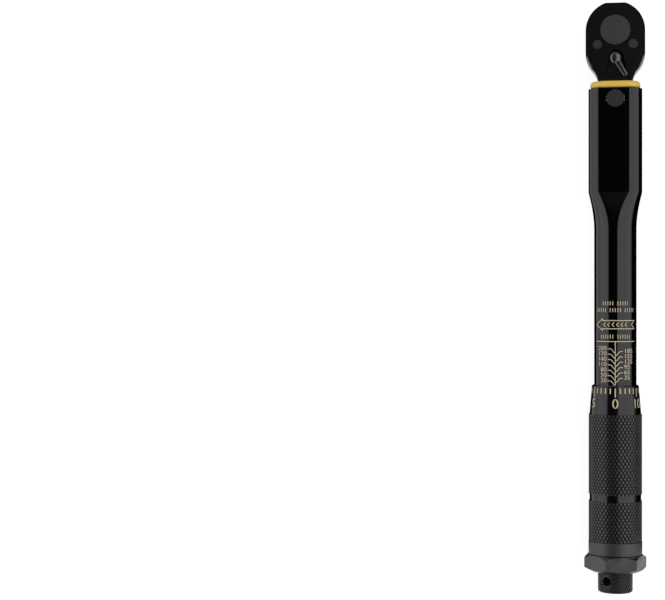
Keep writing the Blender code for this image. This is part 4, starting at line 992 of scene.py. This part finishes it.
def knurled(name, radius, front, rear, count, pitch, depth, flat, finish):
    """Rows of raised diamonds round a band, each row set between those of the row before."""
    rows = math.ceil((front - rear) / (pitch / 2)) + 2
    inputs = {
        "Diamonds": count,
        "Rows": rows,
        "Foot radius": radius - depth,
        "Front": front + pitch / 4,
        "Pitch": pitch,
        "Width": 2 * math.pi * radius / count,
        "Depth": depth,
        "Flat": flat,
    }
    tree, given = tree_with(name, inputs)

    def maths(operation, *values):
        terms = dict(enumerate(values))
        return add_node(tree, "ShaderNodeMath", terms, operation=operation).outputs[0]

    total = maths("MULTIPLY", given["Diamonds"], given["Rows"])
    index = add_node(tree, "GeometryNodeInputIndex").outputs[0]
    row = maths("FLOOR", maths("DIVIDE", index, given["Diamonds"]))
    stagger = maths("MULTIPLY", maths("MODULO", row, 2.0), 0.5)
    turn = maths("DIVIDE", maths("ADD", index, stagger), given["Diamonds"])
    angle = maths("MULTIPLY", turn, 2 * math.pi)
    across = maths("MULTIPLY", maths("SINE", angle), given["Foot radius"])
    upward = maths("MULTIPLY_ADD", maths("COSINE", angle), given["Foot radius"], AXIS_Z)
    back = maths("MULTIPLY", row, maths("MULTIPLY", given["Pitch"], 0.5))
    place = add_node(
        tree, "ShaderNodeCombineXYZ", {"X": across, "Y": maths("SUBTRACT", given["Front"], back), "Z": upward}
    )
    points = add_node(tree, "GeometryNodePoints", {"Count": total, "Position": place.outputs[0]})
    diamond = add_node(
        tree,
        "GeometryNodeMeshCone",
        {"Vertices": 4, "Radius Top": given["Flat"], "Radius Bottom": 1.0, "Depth": 1.0},
    )
    half_width = maths("MULTIPLY", given["Width"], 0.5)
    half_pitch = maths("MULTIPLY", given["Pitch"], 0.5)
    size = add_node(tree, "ShaderNodeCombineXYZ", {"X": half_width, "Y": half_pitch, "Z": given["Depth"]})
    # Each diamond leans round the axis, to stand on the band at its own point
    lean = add_node(tree, "ShaderNodeCombineXYZ", {"Y": angle})
    diamonds = add_node(
        tree,
        "GeometryNodeInstanceOnPoints",
        {
            "Points": points.outputs[0],
            "Instance": diamond.outputs["Mesh"],
            "Rotation": lean.outputs[0],
            "Scale": size.outputs[0],
        },
    )
    mesh = grown(bpy.data.meshes.new(name), tree, inputs, diamonds.outputs[0], finish)
    # The rows run past both ends of the band, and are trimmed square there
    form = bmesh.new()
    form.from_mesh(mesh)
    for y, way in ((front, 1), (rear, -1)):
        end = {"plane_co": (0.0, y, 0.0), "plane_no": (0.0, way, 0.0), "clear_outer": True}
        everything = form.verts[:] + form.edges[:] + form.faces[:]
        trimmed = bmesh.ops.bisect_plane(form, geom=everything, dist=WELD, **end)
        cut_edges = [item for item in trimmed["geom_cut"] if isinstance(item, bmesh.types.BMEdge)]
        bmesh.ops.holes_fill(form, edges=cut_edges, sides=0)
    form.to_mesh(mesh)
    form.free()
    mesh.shade_flat()
    return mesh


# Blackened steel: a satin shine, rubbed by hands in slow patches. On a knurl, colour and shine fall away
# towards the grooves' foot as painted shade.
GRIP_IOR = 1.47
CREST_SHINE = 0.5


def blackened_turning(name, colours, ior, radius=0.0, depth=0.0):
    """Blackened turned steel; with a knurl's radius and depth, its colour and shine fall to nothing towards
    the grooves' foot, as painted shade in the grooves.
    """
    material = grained(name, colours, roughness=(0.26, 0.36), grain=6.0 * MM, ior=ior)
    tree = material.node_tree
    shader = tree.nodes["Principled BSDF"]
    place = tree.nodes["Texture Coordinate"].outputs["Object"]
    if depth:
        to_axis = {"Vector": place, "Location": (0.0, 0.0, -AXIS_Z), "Scale": (1.0, 0.0, 1.0)}
        spoke = add_node(tree, "ShaderNodeMapping", to_axis).outputs["Vector"]
        out = add_node(tree, "ShaderNodeVectorMath", {0: spoke}, operation="LENGTH").outputs["Value"]
        rise = {"Value": out, "From Min": radius - depth, "From Max": radius}
        crest = add_node(tree, "ShaderNodeMapRange", rise).outputs["Result"]
        # Shine and colour both scale with the height above the groove's foot: painted shade, darkest deep in
        # the grooves.
        shine = add_node(tree, "ShaderNodeMath", {0: crest, 1: CREST_SHINE}, operation="MULTIPLY")
        tree.links.new(shine.outputs[0], shader.inputs["Specular IOR Level"])
        steel = shader.inputs["Base Color"].links[0].from_socket
        groove_shaded_colour = add_node(tree, "ShaderNodeVectorMath", {0: steel, "Scale": crest}, operation="SCALE")
        tree.links.new(groove_shaded_colour.outputs["Vector"], shader.inputs["Base Color"])
    return material


GRIP_COLOURS = ("#202023", "#26262a")
grip_steel = blackened_turning("blackened_knurled_grip", GRIP_COLOURS, GRIP_IOR, KNURL, KNURL_DEPTH)
for name, front, rear in (
    ("knurl_front", cone_end, groove_front),
    ("knurl_rear", groove_rear, ring_front),
):
    band = knurled(name, KNURL, front, rear, KNURL_ROUND, KNURL_ALONG, KNURL_DEPTH, KNURL_FLAT, grip_steel)
    add_piece(name, band, grip_steel, "grip", "black_grip")

# The cone's own scale: thirty ticks and a label at every fifth, increasing to the left.
TICKS = 30
TICKS_TO_LABEL = 5
TICK_WIDTH = 0.62 * MM
TICK_SHORT = 2.6 * MM
TICK_LONG = 4.2 * MM
TICK_FRONT = grip_high.y - 1.2 * MM
CONE_LABELS = ("0", "5", "10", "0", "5", "10")
CONE_LABEL_HEIGHT = 4.5 * MM
CONE_LABEL_Y = grip_high.y - 8.4 * MM
CONE_BOLD = 0.03 * MM


def cone_radius(y):
    """Radius of the cone's surface at a place along the wrench."""
    return SLEEVE_NOSE + (CONE - SLEEVE_NOSE) * (grip_high.y - EDGE - y) / (CONE_LENGTH - EDGE)


cone_marks = bmesh.new()
girth_radius = cone_radius(CONE_LABEL_Y)
girth = 2 * math.pi * girth_radius
tick_step = girth / TICKS
long_tick = stroke([(0.0, TICK_FRONT), (0.0, TICK_FRONT - TICK_LONG)], TICK_WIDTH)
short_tick = stroke([(0.0, TICK_FRONT), (0.0, TICK_FRONT - TICK_SHORT)], TICK_WIDTH)
for place, text in enumerate(CONE_LABELS):
    x = girth / 2 - girth * place / len(CONE_LABELS)
    cone_marks.from_mesh(repeated(long_tick, 1, (x, 0.0), (tick_step, 0.0)))
    cone_marks.from_mesh(repeated(short_tick, TICKS_TO_LABEL - 1, (x + tick_step, 0.0), (tick_step, 0.0)))
    label_x = -girth * place / len(CONE_LABELS)
    numeral(cone_marks, text, CONE_LABEL_HEIGHT, (label_x, CONE_LABEL_Y), bold=CONE_BOLD)
cone_scale = printed("cone_scale", cone_marks, cone_radius, girth_radius)
add_piece("cone_scale_print", cone_scale, cream_ink, "grip", "yellow_plastic")

# End nut
# A hexagon nut locks the sleeve on the adjusting screw. It is cut from hexagon bar, with both
# ends turned to a chamfer that leaves arcs on its flats, and left satin grey.

nut_low, nut_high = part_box("end_nut")
HEX_FLATS = 26.0 * MM
HEX_TURN = math.radians(18)
HEX_FACE = 13.1 * MM
HEX_WASHER = 0.25 * MM
HEX_FRONT_CHAMFER = 1.2 * MM
HEX_REAR_CHAMFER = 1.8 * MM
hex_corner = HEX_FLATS / math.sqrt(3)
hexagon = []
for k in range(6):
    angle = HEX_TURN + math.pi / 3 * k
    hexagon.append((-hex_corner * math.sin(angle), AXIS_Z + hex_corner * math.cos(angle)))
bar = stacked("bar", [[(x, y, z) for x, z in hexagon] for y in (nut_low.y, nut_high.y)])
hex_back = 2 * HEX_FACE - hex_corner
envelope = [
    (0.0, nut_high.y + PAST),
    (HEX_FACE - PAST, nut_high.y + PAST),
    (HEX_FACE, nut_high.y),
    (hex_corner + PLAY, nut_high.y - HEX_FRONT_CHAMFER - PLAY),
    (hex_corner + PLAY, nut_low.y + HEX_REAR_CHAMFER + PLAY),
    (hex_back, nut_low.y),
    (hex_back - PAST, nut_low.y - PAST),
    (0.0, nut_low.y - PAST),
]
nut = shaped(bar, [turned("envelope", envelope, ALONG)], "INTERSECT")
washer = rod("washer", HEX_FACE, nut_high.y - HEX_FRONT_CHAMFER, nut_high.y + HEX_WASHER, ALONG)
nut = shaped(nut, [washer], "UNION")
nut = shaped(nut, [rod("nut_bore", SLEEVE_EYE, nut_low.y - PAST, nut_high.y + PAST, ALONG)])

# Satin zinc over drawn bar: mid grey with a fine lengthwise grain.
satin_zinc = grained(
    "satin_zinc_bar_steel", ("#444444", "#4d4d4d"), roughness=(0.36, 0.44), grain=0.35 * MM,
    stretch=(1.0, 0.1, 1.0), metallic=1.0, bump=0.08, height=0.02 * MM,
)
add_piece("hex_nut", nut, satin_zinc, "grip", "satin_steel", "end_nut")

# The sleeve's own ring is turned to the same grey, with finer lines round it.
turned_ring = grained(
    "satin_turned_ring", ("#434343", "#4a4a4a"), roughness=(0.48, 0.56), grain=0.25 * MM,
    stretch=ROUND_THE_AXIS, detail=2.0, metallic=1.0, bump=0.05, height=0.02 * MM,
)
grip_sleeve.data.materials.append(turned_ring)
for face in grip_sleeve.data.polygons:
    if face.center.y < ring_front + WELD:
        face.material_index = 1

# Lock knob
# A small knurled knob, blackened, drives the lock rod. A hexagon-socket set screw in its side
# holds it on the rod, sunk in a cross-hole.

knob_low, knob_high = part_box("lock_knob")
KNOB = 8.25 * MM
KNOB_KNURL_ROUND = 36
KNOB_KNURL_ALONG = 1.82 * MM
KNOB_KNURL_DEPTH = 0.45 * MM
KNOB_KNURL_FLAT = 0.55
KNOB_EDGE = 0.5 * MM
KNOB_CROWN = 1.0 * MM
KNOB_BORE = 2.3 * MM
KNOB_BORE_DEPTH = 7.0 * MM
SCREW_TURN = math.radians(32)
SCREW_Y = knob_high.y - 4.0 * MM
SCREW_BORE = 2.2 * MM
SCREW = 1.9 * MM
SCREW_SUNK = 2.1 * MM
SOCKET_FLATS = 1.9 * MM
SOCKET_DEPTH = 1.5 * MM

knob_core = KNOB - KNOB_KNURL_DEPTH + 2 * INK_PROUD
crown = arc((KNOB - KNOB_CROWN, knob_low.y + KNOB_CROWN), KNOB_CROWN, 0.0, -math.pi / 2, ARC_STEPS // 2)
knob_profile = [
    (0.0, knob_high.y - KNOB_BORE_DEPTH),
    (KNOB_BORE, knob_high.y - KNOB_BORE_DEPTH),
    (KNOB_BORE, knob_high.y),
    (KNOB - KNOB_EDGE, knob_high.y),
    (knob_core, knob_high.y - KNOB_EDGE),
    (knob_core, knob_low.y + KNOB_CROWN),
    *crown[1:],
    (0.0, knob_low.y),
]
screw_place = Matrix.Translation((0.0, SCREW_Y, AXIS_Z)) @ Matrix.Rotation(-SCREW_TURN, 4, "Y")
screw_hole = rod("screw_hole", SCREW_BORE, 0.0, KNOB + PAST, screw_place, SMALL_ROUND)
knob = shaped(turned("knob", knob_profile, ALONG), [screw_hole])
KNOB_IOR = 1.4
knob_steel = blackened_turning("blackened_turned_knob", ("#121212", "#171717"), KNOB_IOR)
add_piece("knob_turning", knob, knob_steel, "lock_knob", "black_grip", "lock_knob")
KNOB_COLOURS = ("#2c2c2c", "#343434")
knob_knurl = blackened_turning("blackened_knurled_knob", KNOB_COLOURS, KNOB_IOR, KNOB, KNOB_KNURL_DEPTH)
band = knurled(
    "knob_knurl",
    KNOB,
    knob_high.y - KNOB_EDGE,
    knob_low.y + KNOB_CROWN,
    KNOB_KNURL_ROUND,
    KNOB_KNURL_ALONG,
    KNOB_KNURL_DEPTH,
    KNOB_KNURL_FLAT,
    knob_knurl,
)
hole_axis = screw_place.to_3x3() @ Vector((0.0, 0.0, 1.0))
form = bmesh.new()
form.from_mesh(band)
inside = []
for face in form.faces:
    offset = face.calc_center_median() - screw_place.translation
    height = offset.dot(hole_axis)
    if height > 0 and (offset - height * hole_axis).length < SCREW_BORE + PLAY:
        inside += [linked for vert in face.verts for linked in vert.link_faces]
bmesh.ops.delete(form, geom=list(set(inside)), context="FACES")
form.to_mesh(band)
form.free()
add_piece("knob_knurl", band, knob_knurl, "lock_knob", "black_grip")

socket_corner = SOCKET_FLATS / math.sqrt(3)
socket = [
    (socket_corner * math.cos(math.pi / 3 * k), socket_corner * math.sin(math.pi / 3 * k)) for k in range(6)
]
screw_top = KNOB - SCREW_SUNK
grub = rod("grub", SCREW, KNOB_BORE, screw_top, screw_place, SMALL_ROUND)
socket_cut = prism("socket", socket, screw_top - SOCKET_DEPTH, screw_top + PAST)
socket_cut.transform(screw_place)
# Black oxide from the salt bath, near black and rough, with its shine cut to a tenth so that the socket is a
# dark hole: partly the screw's own black, partly painted shade.
oxide_and_hole_shade = grained(
    "black_oxide_with_hole_shade", ("#020202", "#050505"), roughness=(0.75, 0.85), grain=0.2 * MM, detail=2.0
)
DARK_HOLE_SHINE = 0.1
# The shine is turned almost off: painted shade in the hole.
oxide_and_hole_shade.node_tree.nodes["Principled BSDF"].inputs["Specular IOR Level"].default_value = DARK_HOLE_SHINE
add_piece("set_screw", shaped(grub, [socket_cut]), oxide_and_hole_shade, "lock_knob", "dark_steel", "knob_set_screw")

# Studio
# A white table, two long soft boxes beside the wrench, and cards and flags that the enamel mirrors.
# The flags leave a gap beside the neck, where the head's flanks catch the white of the table.
# The camera stands over the middle of the wrench and looks a little to its left.

PHOTO_WIDTH = 665
PIXEL = 0.4796 * MM
CAMERA_DISTANCE = 800 * MM
WRENCH_PIXEL = 282.8
MIDDLE_Y = -128.7 * MM
SENSOR = 36.0

scene = bpy.context.scene
scene.view_settings.view_transform = "Standard"
lens = bpy.data.cameras.new("camera")
camera = bpy.data.objects.new("camera", lens)
scene.collection.objects.link(camera)
scene.camera = camera
pan = math.asin(WRENCH_PIXEL * PIXEL / CAMERA_DISTANCE)
lens.sensor_width = SENSOR
lens.lens = CAMERA_DISTANCE * math.cos(pan) / PIXEL / PHOTO_WIDTH * SENSOR
camera.location = (0.0, MIDDLE_Y, AXIS_Z + CAMERA_DISTANCE)
camera.rotation_euler = (0.0, pan, 0.0)


def plain_sheet(name, low, high, z):
    """A flat rectangle at a height."""
    form = bmesh.new()
    corners = [(low[0], low[1]), (high[0], low[1]), (high[0], high[1]), (low[0], high[1])]
    form.faces.new([form.verts.new((x, y, z)) for x, y in corners])
    mesh = bpy.data.meshes.new(name)
    form.to_mesh(mesh)
    form.free()
    sheet = bpy.data.objects.new(name, mesh)
    scene.collection.objects.link(sheet)
    return sheet


def in_sight(tree):
    """Is 1 on rays from the camera, also by way of metal or glass, and 0 on rays that carry light."""
    path = add_node(tree, "ShaderNodeLightPath").outputs
    sight = path["Is Camera Ray"]
    for kind in ("Is Glossy Ray", "Is Transmission Ray"):
        sight = add_node(tree, "ShaderNodeMath", {0: sight, 1: path[kind]}, operation="MAXIMUM").outputs[0]
    return sight


TABLE_HALF = 4.0
TABLE_ALBEDO = 0.4
TABLE_GLOW = 0.76
table_white, tree, shader, place = new_finish("white_table", "#ffffff", 0.9)
shader.inputs["Base Color"].default_value = (TABLE_ALBEDO, TABLE_ALBEDO, TABLE_ALBEDO, 1.0)
shader.inputs["Specular IOR Level"].default_value = 0.0
shader.inputs["Emission Color"].default_value = linear("#ffffff")
glow = add_node(tree, "ShaderNodeMath", {0: in_sight(tree), 1: TABLE_GLOW}, operation="MULTIPLY")
tree.links.new(glow.outputs[0], shader.inputs["Emission Strength"])
table = plain_sheet("table", (-TABLE_HALF, -TABLE_HALF), (TABLE_HALF, TABLE_HALF), cad_box[0].z)
table.data.materials.append(table_white)

WORLD_LIGHT = 0.65
world = bpy.data.worlds.new("studio_air")
scene.world = world
world.use_nodes = True
tree = world.node_tree
backdrop = tree.nodes["Background"]
backdrop.inputs["Color"].default_value = linear("#ffffff")
level = add_node(tree, "ShaderNodeMapRange", {"Value": in_sight(tree), "To Min": WORLD_LIGHT, "To Max": 1.0})
tree.links.new(level.outputs["Result"], backdrop.inputs["Strength"])

SOFT_BOX_DISTANCE = 0.5
SOFT_BOX_LENGTH = 1.2
SOFT_BOX_RADIANCE = 0.85


def soft_box(name, first, last):
    """A long soft box beside the wrench that fills the angles between two from the vertical."""
    lean = math.radians((first + last) / 2)
    half = math.radians(abs(last - first) / 2)
    light = bpy.data.lights.new(name, "AREA")
    light.shape = "RECTANGLE"
    light.size = 2 * SOFT_BOX_DISTANCE * math.tan(half)
    light.size_y = SOFT_BOX_LENGTH
    light.energy = SOFT_BOX_RADIANCE * math.pi * light.size * light.size_y
    lamp = bpy.data.objects.new(name, light)
    scene.collection.objects.link(lamp)
    reach = Vector((math.sin(lean), 0.0, math.cos(lean))) * SOFT_BOX_DISTANCE
    lamp.location = Vector((0.0, MIDDLE_Y, AXIS_Z)) + reach
    lamp.rotation_euler = (0.0, lean, 0.0)
    lamp.visible_camera = False


LEFT_BOX_ANGLES = (-38, -88)
RIGHT_BOX_ANGLES = (12, 88)
soft_box("left_box", *LEFT_BOX_ANGLES)
soft_box("right_box", *RIGHT_BOX_ANGLES)

CARD_HEIGHT = 0.95
CARD_LEFT = -0.73
CARD_RIGHT = 0.2
CARD_FRONT = 0.24
CARD_BACK = -1.15
FLAG_HEIGHT = 1.0 * MM
NECK_GAP = (-24 * MM, -12 * MM)
FLAG_NEAR = 8 * MM
FLAG_LEFT = -33 * MM
FLAG_FAR = 45 * MM
FLAG_RIGHT = 140 * MM
HEAD_FLAG_LEFT = -50 * MM
NOSE_FLAG_FRONT = 50 * MM
FLAGS = (
    ("left_flag", (FLAG_LEFT, nut_high.y), (-FLAG_NEAR, NECK_GAP[0])),
    ("right_flag", (FLAG_NEAR, nut_high.y), (FLAG_FAR, NECK_GAP[0])),
    ("far_flag", (FLAG_FAR, nut_high.y), (FLAG_RIGHT, head_high.y)),
    ("left_head_flag", (HEAD_FLAG_LEFT, NECK_GAP[1]), (-FLAG_NEAR, head_high.y)),
    ("right_head_flag", (FLAG_NEAR, NECK_GAP[1]), (FLAG_FAR, head_high.y)),
    ("nose_flag", (HEAD_FLAG_LEFT, head_high.y), (FLAG_RIGHT, NOSE_FLAG_FRONT)),
)
NUT_FLAG_HEIGHT = 0.25
NUT_FLAG = ((0.045, -0.6), (0.15, -0.285))
black_card, tree, shader, place = new_finish("black_velvet", "#000000", 1.0)
shader.inputs["Specular IOR Level"].default_value = 0.0
# A black card that glows, brighter away from the top card, and is seen only in reflections: a painted
# reflection on the enamel, not a lamp.
GLOWING_CARD_FRONT = 1.2
GLOWING_CARD_FULL = 0.45
GLOWING_CARD_GLOW = 0.09
glowing_card, tree, shader, place = new_finish("glowing_reflection_card", "#000000", 1.0)
shader.inputs["Emission Color"].default_value = linear("#ffffff")
along = add_node(tree, "ShaderNodeSeparateXYZ", {"Vector": place}).outputs["Y"]
fade = {"Value": along, "From Min": CARD_FRONT, "From Max": GLOWING_CARD_FULL, "To Max": GLOWING_CARD_GLOW}
fading = add_node(tree, "ShaderNodeMapRange", fade)
tree.links.new(fading.outputs["Result"], shader.inputs["Emission Strength"])
top_card = plain_sheet("top_card", (CARD_LEFT, CARD_BACK), (CARD_RIGHT, CARD_FRONT), CARD_HEIGHT)
front_card = plain_sheet("front_card", (CARD_LEFT, CARD_FRONT), (CARD_RIGHT, GLOWING_CARD_FRONT), CARD_HEIGHT)
nut_flag = plain_sheet("nut_flag", *NUT_FLAG, AXIS_Z + NUT_FLAG_HEIGHT)
cards = [(top_card, black_card), (front_card, glowing_card), (nut_flag, black_card)]
for name, low, high in FLAGS:
    flag = plain_sheet(name, low, high, cad_box[0].z + FLAG_HEIGHT)
    cards.append((flag, black_card))
for card, cloth in cards:
    card.data.materials.append(cloth)
    card.visible_camera = False
    card.visible_diffuse = False
    card.visible_shadow = False
